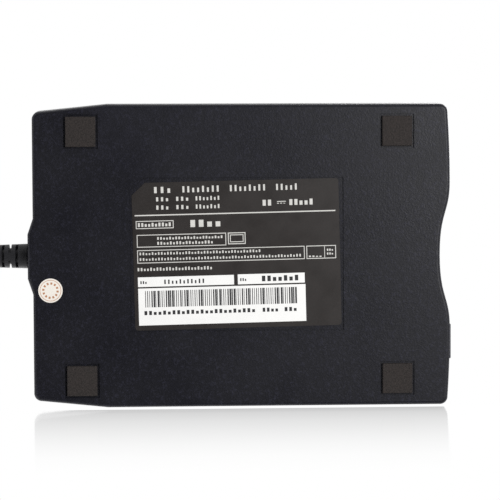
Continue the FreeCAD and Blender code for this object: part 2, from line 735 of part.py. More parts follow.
def interface_parts():
    z = board_z + board_sheet
    chip_x = interface_chip_x
    chip_y = board_y + 1.4
    chip = block(chip_x, chip_x + interface_chip_side, chip_y, chip_y + interface_chip_side, z, z + 1.2)
    memory = block(memory_x, memory_x + memory_size[0], board_y + 2, board_y + 2 + memory_size[1], z, z + 1.0)
    caps = [block(-24 + 4 * n, -22.5 + 4 * n, board_y + 3, board_y + 4, z, z + 0.8) for n in range(4)]
    return [chip, memory] + caps


def crystal_can():
    z = board_z + board_sheet
    can = block(-38, -28, board_y + 2.5, board_y + 6.5, z, z + 2.4)
    return along_z(can, 1.9)


def cable_socket():
    z = board_z + board_sheet
    body = block(-5.5, 5.5, board_y + 0.6, relief_inner_y, z, parting_z + 2.2)
    return body.cut(block(-4.5, 4.5, board_y + 2.2, relief_inner_y + 1, parting_z - 1.2, parting_z + 1.2))


def inner_leads():
    return [rod_y(x, board_y + 2.2, relief_inner_y, parting_z, 0.6) for x in (-2.4, -0.8, 0.8, 2.4)]


def flat_cable():
    """Ribbon over the chassis's rear edge, with its socket on the interface board."""
    left, right = ribbon_x
    ribbon = block(left + 0.5, right - 0.5, module_rear - 7, board_y + 4, ribbon_z, ribbon_z + 0.3)
    socket = block(left, right, board_y + 1, board_y + 5, board_z + board_sheet, ribbon_z)
    return fuse(ribbon, socket)


def spring_line():
    """Distance of each spring from the middle, its height, and the places of its two ends."""
    return slide_inner - 1.2, deck_z + 1.9, hub_y + 9.0, pin_rows[1] + slide_travel + 3.0


def slide_springs():
    """Close-wound pull springs from the chassis's hooks to the pegs of the slide."""
    x, z, y0, y1 = spring_line()
    return [rod_y(side * x, y0, y1 - 0.6, z, 1.0) for side in (-1, 1)]


def spring_hooks():
    x, z, y0, y1 = spring_line()
    return [block(side * x - 0.8, side * x + 0.8, y0 - 0.8, y0, deck_z, z + 1.0) for side in (-1, 1)]


def rubber_feet():
    pads = square_seats(foot_size, 0.0, base_z + foot_seat_depth)
    return [pad.makeFillet(0.35, edges_at(pad, 0.0)) for pad in pads]


def module_screws():
    screws = []
    for x, y in foot_places:
        head = upright(x, y, 2.1, head_seat_z - 0.9, head_seat_z)
        screws.append(fuse(head, upright(x, y, 1.0, head_seat_z - 0.1, deck_z + 1.8)))
    return screws


def label_sheet():
    x0, x1, y0, y1 = -label_width / 2, label_width / 2, -label_length / 2, label_length / 2
    z1 = base_z + recess_depth
    cut_x, cut_y = recess_corner
    sheet_part = plate([(x0, y0), (x1, y0), (x1, y1), (x0 + cut_x, y1), (x0, y1 - cut_y)], z1 - sheet_print, z1)
    upright_edges = [e for e in sheet_part.Edges if abs(e.tangentAt(e.FirstParameter).z) > 0.99]
    square = [e for e in upright_edges if e.Vertexes[0].Y < 0 or e.Vertexes[0].X > 0]
    sheet_part = sheet_part.makeFillet(label_corner, square)
    sheet_part.rotate(V(0, 0, 0), V(0, 0, 1), label_turn)
    sheet_part.translate(V(*label_place, 0))
    return sheet_part


def round_sticker():
    return upright(sticker_place[0], sticker_place[1], sticker_radius, base_z - sheet_print, base_z)


def groove(y, turned):
    """Ring cut in two sectors, open to the faces or to the sides of the relief."""
    ring = []
    for half_turn in (0, 180):
        sector = Part.makeCylinder(8.0, groove_width, V(0, y, parting_z), V(0, 1, 0), groove_angle)
        start = 90 * turned + half_turn - groove_angle / 2
        sector.rotate(V(0, y, parting_z), V(0, 1, 0), start)
        ring.append(sector)
    core = rod_y(0, y - 1, y + groove_width + 1, parting_z, relief_core)
    return Part.makeCompound([s.cut(core) for s in ring])


def strain_relief():
    cone = Part.makeCone(relief_radius, relief_end_radius, relief_length, V(0, case_rear, parting_z), V(0, 1, 0))
    neck = rod_y(0, relief_inner_y, case_rear + 0.1, parting_z, relief_neck_radius)
    flange = rod_y(0, relief_inner_y, relief_inner_y + relief_flange, parting_z, relief_flange_radius)
    body = fuse(cone, neck, flange)
    cuts = [groove(case_rear + groove_first + n * groove_pitch, n % 2) for n in range(groove_count)]
    return body.cut(Part.makeCompound(cuts))


# Free cable: hand-chosen route from the relief's end to the coil, lying on the floor
cable_z = cable_radius + 0.02
relief_end_y = case_rear + relief_length
coil_start_y = relief_end_y + 60.5
coil_centre_y = coil_start_y + 2 * cable_radius
route = [
    (0.0, relief_end_y, parting_z),
    (0.0, relief_end_y + 10.0, parting_z),
    (-2.5, relief_end_y + 23.0, 4.6),
    (-9.0, relief_end_y + 36.5, cable_z),
    (coil_centre_x - coil_radius, relief_end_y + 49.5, cable_z),
    (coil_centre_x - coil_radius, coil_start_y, cable_z),
]


def tube_path(points):
    """Straight runs joined by tangent arcs, as wide as the runs allow. Prints each radius."""
    path = [V(*p) for p in points]
    edges = []
    radii = []
    at = path[0]
    for index in range(1, len(path) - 1):
        before, corner, after = path[index - 1], path[index], path[index + 1]
        run_in = (corner - before).Length
        run_out = (after - corner).Length
        turn = (corner - before).getAngle(after - corner)
        radius = 0.45 * min(run_in, run_out) / math.tan(turn / 2)
        radii.append(radius)
        start, middle, end = rounded(before, corner, after, radius)
        edges.append(Part.LineSegment(at, start).toShape())
        edges.append(arc_between(start, middle, end))
        at = end
    edges.append(Part.LineSegment(at, path[-1]).toShape())
    print("cable tube radii", [round(r, 1) for r in radii])
    return Part.Wire(edges)


def swept(wire, at, direction, radius):
    profile = Part.Wire([Part.Circle(at, direction, radius).toShape()])
    solid = wire.makePipeShell([profile], True, False)
    ideal = math.pi * radius ** 2 * wire.Length
    print("tube length", round(wire.Length, 1), "volume over ideal", round(solid.Volume / ideal, 4))
    return solid


def cable_tube():
    return swept(tube_path(route), V(*route[0]), V(0, 1, 0), cable_radius)


def coil_node(half_turns):
    """Place and heading on the coil after some half turns, clockwise from the side where the cable comes in."""
    middle = coil_half_turns / 2
    away = abs(half_turns - middle)
    radius = coil_radius - turn_pitch * (middle - away) / 2
    rise = min(max((half_turns - middle + 0.5), 0.0), 1.0)
    angle = math.pi - half_turns * math.pi
    growth = turn_pitch / (2 * math.pi)
    growth = 0.0 if away < 0.01 else (growth if half_turns > middle else -growth)
    climb = 1.5 * turn_pitch / math.pi if away < 0.01 else 0.0
    place = V(coil_centre_x + radius * math.cos(angle), coil_centre_y + radius * math.sin(angle),
              cable_z + rise * turn_pitch)
    heading = V(growth * math.cos(angle) + radius * math.sin(angle),
                growth * math.sin(angle) - radius * math.cos(angle), climb)
    return place, heading.normalize()


def biarc(p0, t0, p1, t1):
    """Two tangent arcs from one place and heading to another."""
    v = p1 - p0
    t = t0 + t1
    short = 2 * (1 - t0.dot(t1))
    if short < 1e-9:
        reach = v.dot(v) / (4 * v.dot(t1))
    else:
        reach = (-v.dot(t) + math.sqrt(v.dot(t) ** 2 + short * v.dot(v))) / short
    q0 = p0 + t0 * reach
    q1 = p1 - t1 * reach
    join = (q0 + q1) * 0.5
    return [tangent_arc(p0, q0, join), tangent_arc(join, q1, p1)]


def tangent_arc(start, corner, end):
    """Arc from start to end whose end tangents meet at corner, or a line if they are straight."""
    chord_middle = (start + end) * 0.5
    sag = corner - chord_middle
    if sag.Length < 1e-6:
        return Part.LineSegment(start, end).toShape()
    half_chord = (end - start).Length / 2
    half_angle = math.atan2(sag.Length, half_chord)
    height = half_chord * math.tan(half_angle / 2)
    return arc_between(start, chord_middle + sag.normalize() * height, end)


def coil_wire():
    """Straight in for one diameter, quarter turns in and out again, then a lead down to the plug."""
    start = V(*route[-1])
    back = V(0, -1, 0)
    place = V(start.x, coil_centre_y, start.z)
    heading = V(0, 1, 0)
    edges = [Part.LineSegment(start, place).toShape()]
    for quarter in range(1, 2 * coil_half_turns + 1):
        next_place, next_heading = coil_node(quarter / 2)
        if quarter == 2 * coil_half_turns:
            next_heading = back
        edges += biarc(place, heading, next_place, next_heading)
        place, heading = next_place, next_heading
    eased = V(place.x, place.y - 9.0, place.z)
    end = V(place.x, place.y - plug_lead, plug_size[2] / 2)
    low = V(end.x, end.y + 2 * cable_radius, end.z)
    edges.append(Part.LineSegment(place, eased).toShape())
    edges += biarc(eased, back, low, back)
    edges.append(Part.LineSegment(low, end).toShape())
    return Part.Wire(edges)


def least_gap(wire):
    """Smallest space between the tube's turns, from points along its line."""
    points = wire.discretize(Distance=1.0)
    least = 1e9
    apart = int(8 * cable_radius)
    for index, point in enumerate(points):
        for other in points[index + apart:]:
            least = min(least, (point - other).Length)
    return least - 2 * cable_radius


def cable_coil():
    wire = coil_wire()
    print("coil least gap", round(least_gap(wire), 2))
    return swept(wire, V(*route[-1]), V(0, 1, 0), cable_radius)


def plug_place():
    last, heading = coil_node(coil_half_turns)
    return last.x, last.y - plug_lead


def plug_overmould():
    x, y = plug_place()
    wide, deep, tall = plug_size
    nub_length = 7.0
    grip = block(x - wide / 2, x + wide / 2, y - deep, y - nub_length, 0, tall)
    long_edges = [e for e in grip.Edges if abs(e.tangentAt(e.FirstParameter).y) > 0.99]
    grip = grip.makeFillet(2.2, long_edges)
    nub = Part.makeCone(4.0, cable_radius + 0.9, nub_length, V(x, y - nub_length, tall / 2), V(0, 1, 0))
    hollow = block(x - plug_shell_size[0] / 2, x + plug_shell_size[0] / 2, y - deep - 1, y - deep + 6,
                   tall / 2 - plug_shell_size[2] / 2, tall / 2 + plug_shell_size[2] / 2)
    return fuse(grip, nub).cut(hollow)


def plug_box(inset, y0, y1):
    x, y = plug_place()
    mid = plug_size[2] / 2
    half = plug_shell_size[0] / 2 - inset
    tall = plug_shell_size[2] / 2 - inset
    return block(x - half, x + half, y0, y1, mid - tall, mid + tall)


def plug_shell():
    x, y = plug_place()
    front = y - plug_size[1] - plug_shell_size[1]
    root = y - plug_size[1] + 6
    body = plug_box(0, front, root).cut(plug_box(plug_shell_wall, front - 1, root - 1))
    holes = [block(x + dx - 1.0, x + dx + 1.0, front + 5, front + 7.2, 0, plug_size[2]) for dx in (-2.9, 2.9)]
    return body.cut(Part.makeCompound(holes))


def plug_tongue():
    x, y = plug_place()
    front = y - plug_size[1] - plug_shell_size[1]
    root = y - plug_size[1] + 5
    mid = plug_size[2] / 2
    low = mid - plug_shell_size[2] / 2 + plug_shell_wall
    half = plug_shell_size[0] / 2 - plug_shell_wall
    tongue = block(x - half, x + half, front + 0.6, root, low, low + 1.9)
    back = block(x - half, x + half, root - 4, root, low, mid + plug_shell_size[2] / 2 - plug_shell_wall)
    return fuse(tongue, back)


def plug_contacts():
    x, y = plug_place()
    front = y - plug_size[1] - plug_shell_size[1]
    low = plug_size[2] / 2 - plug_shell_size[2] / 2 + plug_shell_wall + 1.9
    return [block(x + dx - 0.5, x + dx + 0.5, front + 1.2, front + 9.0, low, low + 0.15) for dx in (-3.5, -1, 1, 3.5)]


# Places inside the module, worked out from the levels above
light_x = 4.2 - foot_spacing_x / 2
switch_x = foot_spacing_x / 2 - 11.2
board_width = case_width - 2 * board_side_room
head_seat_z = floor_z - 0.1
button_z = deck_z + button_height / 2 + 0.7
tab_y = flap_y + 4.0
light_y = scoop_y + cavity_inset + bezel_flange + 2.0
ear_inner = slot_half + 0.35
ear_outer = ear_inner + 1.3
board_y = module_rear + board_front_gap
board_z = floor_z + 3.2
board_posts = [(-board_width / 2 + 3, board_y + 5), (0, board_y + 4), (board_width / 2 - 3, board_y + 5)]
relief_inner_y = case_rear - cavity_inset - relief_flange
guide_z = deck_z + 2.7
screw_z = chassis_z + motor_radius + 0.1
motor_y = module_rear - motor_length - 0.4
carriage_y = head_y - carriage_lead
nut_y = carriage_y + 16.0
screw_start = nut_y - head_travel - 4.0
rod_start = carriage_y + 11 - head_travel - 3.0
arm_pivot_y = carriage_y + arm_reach
arm_pivot_z = room_top_z - 1.2
latch_place = (latch_reach - slide_inner, disk_rear + latch_rear_gap)
drive_board_x = tuple(foot_spacing_x / 2 - reach for reach in drive_board_reach)
ribbon_x = (drive_board_x[0] + 13.0, drive_board_x[0] + 20.0)
ribbon_z = deck_z + 4.2
switch_y = disk_front + 10.0


def build():
    save("bottom_cover", bottom_cover())
    save("top_cover", top_cover())
    save("rubber_feet", *rubber_feet())
    save("label", label_sheet())
    save("round_sticker", round_sticker())
    save("module_screws", *module_screws())
    save("front_bezel", front_bezel())
    save("door_flap", door_flap())
    save("door_pin", rod_x(-ear_outer + 0.3, ear_outer - 0.3, flap_axis_y, flap_axis_z, flap_pin_radius))
    save("eject_button", eject_button())
    save("light_pipe", light_pipe())
    save("lamp", lamp())
    save("drive_chassis", chassis())
    save("chassis_lid", chassis_lid())
    save("slide_plate", slide_plate())
    save("slide_springs", *slide_springs())
    save("spring_hooks", *spring_hooks())
    save("disk_carrier", disk_carrier())
    save("carrier_pins", *carrier_pins())
    save("latch_lever", latch_lever())
    save("latch_post", latch_post())
    save("motor_board", motor_board())
    save("stator_coils", *stator_coils())
    save("spindle_bearing", spindle_bearing())
    save("spindle_rotor", rotor())
    save("spindle_hub", spindle_hub())
    save("drive_pin", drive_pin())
    save("head_carriage", carriage())
    save("lower_head", lower_head())
    save("upper_head_arm", upper_arm())
    save("upper_head", upper_head())
    save("arm_pivot", arm_pivot())
    save("guide_rod", guide_rod())
    save("rod_clamp", rod_clamp())
    save("lead_screw", lead_screw())
    save("screw_bracket", screw_bracket())
    save("stepper_motor", stepper_motor())
    save("drive_board", drive_board())
    save("drive_board_parts", *drive_board_parts())
    save("switch_bodies", *switch_bodies())
    save("disk_in_plunger", plunger(0))
    save("write_protect_plunger", plunger(1))
    save("interface_board", interface_board())
    save("interface_parts", *interface_parts())
    save("crystal_can", crystal_can())
    save("cable_socket", cable_socket())
    save("inner_leads", *inner_leads())
    save("flat_cable", flat_cable())
    save("strain_relief", strain_relief())
    save("cable_tube", cable_tube())
    save("cable_coil", cable_coil())
    save("plug_overmould", plug_overmould())
    save("plug_shell", plug_shell())
    save("plug_tongue", plug_tongue())
    save("plug_contacts", *plug_contacts())


os.makedirs("parts", exist_ok=True)
build()
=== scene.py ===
"""Dressed view of a slim portable disk drive: finishes, label print, free cable, stage and camera."""

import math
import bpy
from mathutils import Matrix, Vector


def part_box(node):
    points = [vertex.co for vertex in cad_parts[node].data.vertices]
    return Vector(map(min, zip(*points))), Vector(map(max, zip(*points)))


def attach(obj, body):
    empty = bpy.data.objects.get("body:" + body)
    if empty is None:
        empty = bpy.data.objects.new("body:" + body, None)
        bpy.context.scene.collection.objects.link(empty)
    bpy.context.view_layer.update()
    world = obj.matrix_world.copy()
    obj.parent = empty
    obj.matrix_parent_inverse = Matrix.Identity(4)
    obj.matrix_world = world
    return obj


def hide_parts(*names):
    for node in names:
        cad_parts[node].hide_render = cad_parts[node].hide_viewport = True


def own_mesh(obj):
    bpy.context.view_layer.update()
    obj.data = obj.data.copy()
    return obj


bl_info = {
    "name": "Portable Disk Drive",
    "version": (1, 0, 0),
    "blender": (4, 5, 0),
    "location": "View3D > Sidebar > Drive",
    "description": "Finishes the drive's parts, prints its label, lays its cable and sets the stage",
    "category": "Object",
}

import bmesh
import bpy
from bpy.props import FloatProperty, FloatVectorProperty, IntProperty, PointerProperty
from mathutils import Matrix, Vector

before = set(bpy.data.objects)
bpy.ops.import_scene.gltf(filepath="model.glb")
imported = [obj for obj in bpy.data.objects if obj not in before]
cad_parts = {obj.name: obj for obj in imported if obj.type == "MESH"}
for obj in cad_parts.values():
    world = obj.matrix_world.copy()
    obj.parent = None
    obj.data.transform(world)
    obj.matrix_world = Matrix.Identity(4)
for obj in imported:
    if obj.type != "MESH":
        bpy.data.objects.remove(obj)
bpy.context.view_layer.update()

MM = 0.001
PRINT_LIFT = 0.012 * MM
SPRING_WIRE = 0.17 * MM
SPRING_PITCH = 0.8 * MM
TURN_STEPS = 12
WIRE_SIDES = 6
COIL_START = (-12.5 * MM, 167.2 * MM)
COIL_STEPS = 6
PHOTO_RIGHT = Vector((0.004695, -0.999082, -0.042588))
PHOTO_UP = Vector((-0.999172, -0.006408, 0.040175))
PHOTO_PLACE = (-0.02601, 0.02180, -0.59397)
PHOTO_LENS = 126.27


# Settings


class CasingSettings(bpy.types.PropertyGroup):
    """Colours and texture of the moulded covers."""

    casing_colour: FloatVectorProperty(
        name="Casing Colour",
        description="Base colour of the two moulded covers",
        subtype="COLOR",
        size=3,
        min=0.0,
        max=1.0,
        default=(0.0052, 0.0052, 0.0092),
    )
    bezel_colour: FloatVectorProperty(
        name="Bezel Colour",
        description="Base colour of the front bezel, its flap and the button",
        subtype="COLOR",
        size=3,
        min=0.0,
        max=1.0,
        default=(0.0062, 0.0062, 0.0095),
    )
    foot_colour: FloatVectorProperty(
        name="Foot Colour",
        description="Base colour of the rubber feet",
        subtype="COLOR",
        size=3,
        min=0.0,
        max=1.0,
        default=(0.0225, 0.0184, 0.0172),
    )
    grain_size: FloatProperty(
        name="Grain Size",
        description="Size of the moulded texture on the covers",
        subtype="DISTANCE",
        unit="LENGTH",
        default=0.55 * MM,
    )


class LabelSettings(bpy.types.PropertyGroup):
    """Size, turn and inks of the printed label."""

    length: FloatProperty(
        name="Length",
        description="Length of the label along the drive",
        subtype="DISTANCE",
        unit="LENGTH",
        default=70.3 * MM,
    )
    width: FloatProperty(
        name="Width",
        description="Width of the label across the drive",
        subtype="DISTANCE",
        unit="LENGTH",
        default=50.1 * MM,
    )
    turn: FloatProperty(
        name="Turn",
        description="How far the label is stuck on out of square",
        subtype="ANGLE",
        unit="ROTATION",
        default=math.radians(-1.2),
    )
    film_colour: FloatVectorProperty(
        name="Film Colour",
        description="Colour of the label's film",
        subtype="COLOR",
        size=3,
        min=0.0,
        max=1.0,
        default=(0.0225, 0.0185, 0.0172),
    )
    light_ink: FloatVectorProperty(
        name="Light Ink",
        description="Colour of the pale print on the film",
        subtype="COLOR",
        size=3,
        min=0.0,
        max=1.0,
        default=(0.62, 0.61, 0.58),
    )
    dark_ink: FloatVectorProperty(
        name="Dark Ink",
        description="Colour of the print on the white panels",
        subtype="COLOR",
        size=3,
        min=0.0,
        max=1.0,
        default=(0.03, 0.03, 0.032),
    )
    panel_colour: FloatVectorProperty(
        name="Panel Colour",
        description="Colour of the white panels",
        subtype="COLOR",
        size=3,
        min=0.0,
        max=1.0,
        default=(0.86, 0.855, 0.84),
    )
    sticker_colour: FloatVectorProperty(
        name="Sticker Colour",
        description="Colour of the round sticker's paper",
        subtype="COLOR",
        size=3,
        min=0.0,
        max=1.0,
        default=(0.84, 0.79, 0.72),
    )


class CableSettings(bpy.types.PropertyGroup):
    """Sizes of the free cable."""

    diameter: FloatProperty(
        name="Diameter",
        description="Outer diameter of the cable",
        subtype="DISTANCE",
        unit="LENGTH",
        default=4.2 * MM,
    )
    length: FloatProperty(
        name="Length",
        description="Length from the strain relief to the plug",
        subtype="DISTANCE",
        unit="LENGTH",
        default=590.0 * MM,
    )
    coil_radius: FloatProperty(
        name="Coil Radius",
        description="Radius of the outermost turn's centreline",
        subtype="DISTANCE",
        unit="LENGTH",
        default=26.5 * MM,
    )
    turn_pitch: FloatProperty(
        name="Turn Pitch",
        description="Distance between neighbouring turns",
        subtype="DISTANCE",
        unit="LENGTH",
        default=4.7 * MM,
    )
    half_turns: IntProperty(
        name="Half Turns",
        description="Number of half turns in the coil",
        default=7,
        min=2,
        max=24,
    )


class StageSettings(bpy.types.PropertyGroup):
    """Light and surroundings."""

    ambient: FloatProperty(
        name="Ambient Light",
        description="Strength of the surroundings' even light",
        default=0.55,
        min=0.0,
        max=2.0,
    )
    key_power: FloatProperty(
        name="Key Power",
        description="Power of the main soft light under the drive",
        subtype="POWER",
        unit="POWER",
        default=3.0,
        min=0.0,
    )
    top_power: FloatProperty(
        name="Top Power",
        description="Power of the main soft light over the drive",
        subtype="POWER",
        unit="POWER",
        default=9.0,
        min=0.0,
    )


# Shader node groups


def new_group(name, inputs, outputs):
    group = bpy.data.node_groups.new(name, "ShaderNodeTree")
    for label, kind, default in inputs:
        socket = group.interface.new_socket(name=label, in_out="INPUT", socket_type=kind)
        socket.default_value = default
    for label, kind in outputs:
        group.interface.new_socket(name=label, in_out="OUTPUT", socket_type=kind)
    return group, group.nodes.new("NodeGroupInput"), group.nodes.new("NodeGroupOutput")


def add(tree, kind, **values):
    """New node with its plain properties and its unlinked inputs set by name."""
    node = tree.nodes.new(kind)
    for key, value in values.items():
        if hasattr(node, key):
            setattr(node, key, value)
        else:
            node.inputs[key.replace("_", " ")].default_value = value
    return node


def feed(tree, socket, value):
    """Gives a socket its value: another socket, a number or a colour."""
    if isinstance(value, bpy.types.NodeSocket):
        tree.links.new(value, socket)
    elif isinstance(value, (int, float)):
        socket.default_value = value
    else:
        socket.default_value = (*value[:3], 1.0)


def object_place(tree):
    """Place on the piece in metres, so that every texture has its real size."""
    return tree.nodes.new("ShaderNodeTexCoord").outputs["Object"]


def calc(tree, operation, first, second):
    node = tree.nodes.new("ShaderNodeMath")
    node.operation = operation
    feed(tree, node.inputs[0], first)
    feed(tree, node.inputs[1], second)
    return node.outputs[0]


def noise(tree, position, scale, detail, rough=0.55):
    node = tree.nodes.new("ShaderNodeTexNoise")
    tree.links.new(position, node.inputs["Vector"])
    feed(tree, node.inputs["Scale"], scale)
    node.inputs["Detail"].default_value = detail
    node.inputs["Roughness"].default_value = rough
    return node.outputs["Fac"]


def remap(tree, value, low, high, to_low, to_high):
    node = tree.nodes.new("ShaderNodeMapRange")
    tree.links.new(value, node.inputs["Value"])
    for name, number in (("From Min", low), ("From Max", high), ("To Min", to_low), ("To Max", to_high)):
        feed(tree, node.inputs[name], number)
    return node.outputs["Result"]


def mix_colour(tree, factor, first, second):
    node = tree.nodes.new("ShaderNodeMix")
    node.data_type = "RGBA"
    feed(tree, node.inputs[0], factor)
    feed(tree, node.inputs[6], first)
    feed(tree, node.inputs[7], second)
    return node.outputs[2]


def moulded_grain_group():
    """Spark-eroded mould texture: fine pits, faint paler flecks and slow patches of handling sheen."""
    group, ins, outs = new_group(
        "moulded_grain",
        [
            ("Grain Scale", "NodeSocketFloat", 2900.0),
            ("Base", "NodeSocketColor", (0.01, 0.01, 0.01, 1)),
            ("Fleck", "NodeSocketColor", (0.03, 0.03, 0.03, 1)),
            ("Fleck Amount", "NodeSocketFloat", 0.6),
            ("Roughness Low", "NodeSocketFloat", 0.42),
            ("Roughness High", "NodeSocketFloat", 0.6),
        ],
        [("Colour", "NodeSocketColor"), ("Roughness", "NodeSocketFloat"), ("Height", "NodeSocketFloat")],
    )
    place = object_place(group)
    fine = noise(group, place, ins.outputs["Grain Scale"], 2.0, 0.6)
    coarse_scale = calc(group, "MULTIPLY", ins.outputs["Grain Scale"], 0.37)
    coarse = noise(group, place, coarse_scale, 3.0, 0.6)
    patches = noise(group, place, 38.0, 3.0, 0.5)
    height = calc(group, "ADD", calc(group, "MULTIPLY", fine, 0.62), calc(group, "MULTIPLY", coarse, 0.38))
    fleck = remap(group, height, 0.5, 0.68, 0.0, 1.0)
    fleck = calc(group, "MULTIPLY", fleck, ins.outputs["Fleck Amount"])
    colour = mix_colour(group, fleck, ins.outputs["Base"], ins.outputs["Fleck"])
    rough = remap(group, patches, 0.35, 0.65, ins.outputs["Roughness Low"], ins.outputs["Roughness High"])
    group.links.new(colour, outs.inputs["Colour"])
    group.links.new(rough, outs.inputs["Roughness"])
    group.links.new(height, outs.inputs["Height"])
    return group


def edge_rub_group():
    """Paler colour where edges and corners get rubbed."""
    group, ins, outs = new_group(
        "edge_rub",
        [
            ("Colour", "NodeSocketColor", (0.01, 0.01, 0.01, 1)),
            ("Rubbed", "NodeSocketColor", (0.04, 0.04, 0.04, 1)),
            ("Amount", "NodeSocketFloat", 0.5),
        ],
        [("Colour", "NodeSocketColor")],
    )
    geometry = group.nodes.new("ShaderNodeNewGeometry")
    sharp = remap(group, geometry.outputs["Pointiness"], 0.53, 0.62, 0.0, 1.0)
    place = object_place(group)
    broken = remap(group, noise(group, place, 420.0, 4.0), 0.38, 0.62, 0.25, 1.0)
    mask = calc(group, "MULTIPLY", calc(group, "MULTIPLY", sharp, broken), ins.outputs["Amount"])
    colour = mix_colour(group, mask, ins.outputs["Colour"], ins.outputs["Rubbed"])
    group.links.new(colour, outs.inputs["Colour"])
    return group


def light_dust_group():
    """Thin uneven dust that lifts a dark colour a little."""
    group, ins, outs = new_group(
        "light_dust",
        [
            ("Colour", "NodeSocketColor", (0.01, 0.01, 0.01, 1)),
            ("Dust", "NodeSocketColor", (0.2, 0.19, 0.18, 1)),
            ("Amount", "NodeSocketFloat", 0.05),
        ],
        [("Colour", "NodeSocketColor")],
    )
    place = object_place(group)
    slow = noise(group, place, 55.0, 4.0)
    specks = noise(group, place, 1500.0, 2.0)
    film = remap(group, slow, 0.4, 0.75, 0.15, 1.0)
    dots = remap(group, specks, 0.64, 0.72, 0.25, 1.0)
    amount = calc(group, "MULTIPLY", calc(group, "MULTIPLY", film, dots), ins.outputs["Amount"])
    colour = mix_colour(group, amount, ins.outputs["Colour"], ins.outputs["Dust"])
    group.links.new(colour, outs.inputs["Colour"])
    return group


def drawn_metal_group():
    """Rolled sheet: fine lines along the rolling direction and a slow change of tone."""
    group, ins, outs = new_group(
        "drawn_metal",
        [
            ("Base", "NodeSocketColor", (0.6, 0.6, 0.6, 1)),
            ("Shade", "NodeSocketColor", (0.4, 0.4, 0.4, 1)),
            ("Line Scale", "NodeSocketFloat", 2400.0),
            ("Roughness Low", "NodeSocketFloat", 0.25),
            ("Roughness High", "NodeSocketFloat", 0.45),
        ],
        [("Colour", "NodeSocketColor"), ("Roughness", "NodeSocketFloat"), ("Height", "NodeSocketFloat")],
    )
    place = object_place(group)
    stretch = group.nodes.new("ShaderNodeMapping")
    stretch.inputs["Scale"].default_value = (1.0, 0.04, 1.0)
    group.links.new(place, stretch.inputs["Vector"])
    lines = noise(group, stretch.outputs["Vector"], ins.outputs["Line Scale"], 3.0, 0.65)
    slow = noise(group, place, 90.0, 3.0)
    both = calc(group, "ADD", calc(group, "MULTIPLY", lines, 0.6), calc(group, "MULTIPLY", slow, 0.4))
    tone = remap(group, both, 0.38, 0.62, 0.0, 1.0)
    colour = mix_colour(group, tone, ins.outputs["Shade"], ins.outputs["Base"])
    rough = remap(group, lines, 0.3, 0.7, ins.outputs["Roughness Low"], ins.outputs["Roughness High"])
    group.links.new(colour, outs.inputs["Colour"])
    group.links.new(rough, outs.inputs["Roughness"])
    group.links.new(lines, outs.inputs["Height"])
    return group


def film_mottle_group():
    """Film, paper and ink: slow mottling, fine tooth and scuffed patches."""
    group, ins, outs = new_group(
        "film_mottle",
        [
            ("Dark", "NodeSocketColor", (0.02, 0.02, 0.02, 1)),
            ("Light", "NodeSocketColor", (0.03, 0.03, 0.03, 1)),
            ("Grain Scale", "NodeSocketFloat", 2200.0),
            ("Roughness Low", "NodeSocketFloat", 0.36),
            ("Roughness High", "NodeSocketFloat", 0.5),
        ],
        [("Colour", "NodeSocketColor"), ("Roughness", "NodeSocketFloat"), ("Height", "NodeSocketFloat")],
    )
    place = object_place(group)
    mottle = noise(group, place, 120.0, 4.0)
    tooth = noise(group, place, ins.outputs["Grain Scale"], 2.0)
    both = calc(group, "ADD", calc(group, "MULTIPLY", mottle, 0.5), calc(group, "MULTIPLY", tooth, 0.5))
    tone = remap(group, both, 0.36, 0.64, 0.0, 1.0)
    colour = mix_colour(group, tone, ins.outputs["Dark"], ins.outputs["Light"])
    rough = remap(group, mottle, 0.3, 0.7, ins.outputs["Roughness Low"], ins.outputs["Roughness High"])
    group.links.new(colour, outs.inputs["Colour"])
    group.links.new(rough, outs.inputs["Roughness"])
    group.links.new(tooth, outs.inputs["Height"])
    return group


groups = {}


def group(name):
    """The named node group, made once."""
    if name not in groups:
        makers = {
            "moulded_grain": moulded_grain_group,
            "edge_rub": edge_rub_group,
            "light_dust": light_dust_group,
            "drawn_metal": drawn_metal_group,
            "film_mottle": film_mottle_group,
        }
        groups[name] = makers[name]()
    return groups[name]


def use_group(tree, name, **values):
    node = tree.nodes.new("ShaderNodeGroup")
    node.node_tree = group(name)
    for key, value in values.items():
        feed(tree, node.inputs[key.replace("_", " ")], value)
    return node


# Materials


def new_material(name, roughness=0.5, metallic=0.0, specular=0.5):
    material = bpy.data.materials.new(name)
    material.use_nodes = True
    tree = material.node_tree
    shader = tree.nodes["Principled BSDF"]
    shader.inputs["Roughness"].default_value = roughness
    shader.inputs["Metallic"].default_value = metallic
    shader.inputs["Specular IOR Level"].default_value = specular
    return material, tree, shader


def bump(tree, shader, height, distance):
    node = tree.nodes.new("ShaderNodeBump")
    node.inputs["Strength"].default_value = 1.0
    node.inputs["Distance"].default_value = distance
    tree.links.new(height, node.inputs["Height"])
    tree.links.new(node.outputs["Normal"], shader.inputs["Normal"])


def scaled(colour, factor):
    return tuple(min(1.0, channel * factor) for channel in colour)


def moulded_plastic(name, colour, grain, depth, fleck=3.6, amount=0.8, rough=(0.38, 0.46), specular=0.32):
    """Dark or pale moulded plastic with eroded grain, rubbed edges and a little dust."""
    material, tree, shader = new_material(name, specular=specular)
    texture = use_group(
        tree,
        "moulded_grain",
        Grain_Scale=1.0 / grain,
        Base=colour,
        Fleck=scaled(colour, fleck),
        Fleck_Amount=amount,
        Roughness_Low=rough[0],
        Roughness_High=rough[1],
    )
    rubbed = use_group(
        tree, "edge_rub", Colour=texture.outputs["Colour"], Rubbed=scaled(colour, 2.4), Amount=0.5
    )
    dusty = use_group(tree, "light_dust", Colour=rubbed.outputs["Colour"], Amount=0.012)
    tree.links.new(dusty.outputs["Colour"], shader.inputs["Base Color"])
    tree.links.new(texture.outputs["Roughness"], shader.inputs["Roughness"])
    bump(tree, shader, texture.outputs["Height"], depth)
    return material


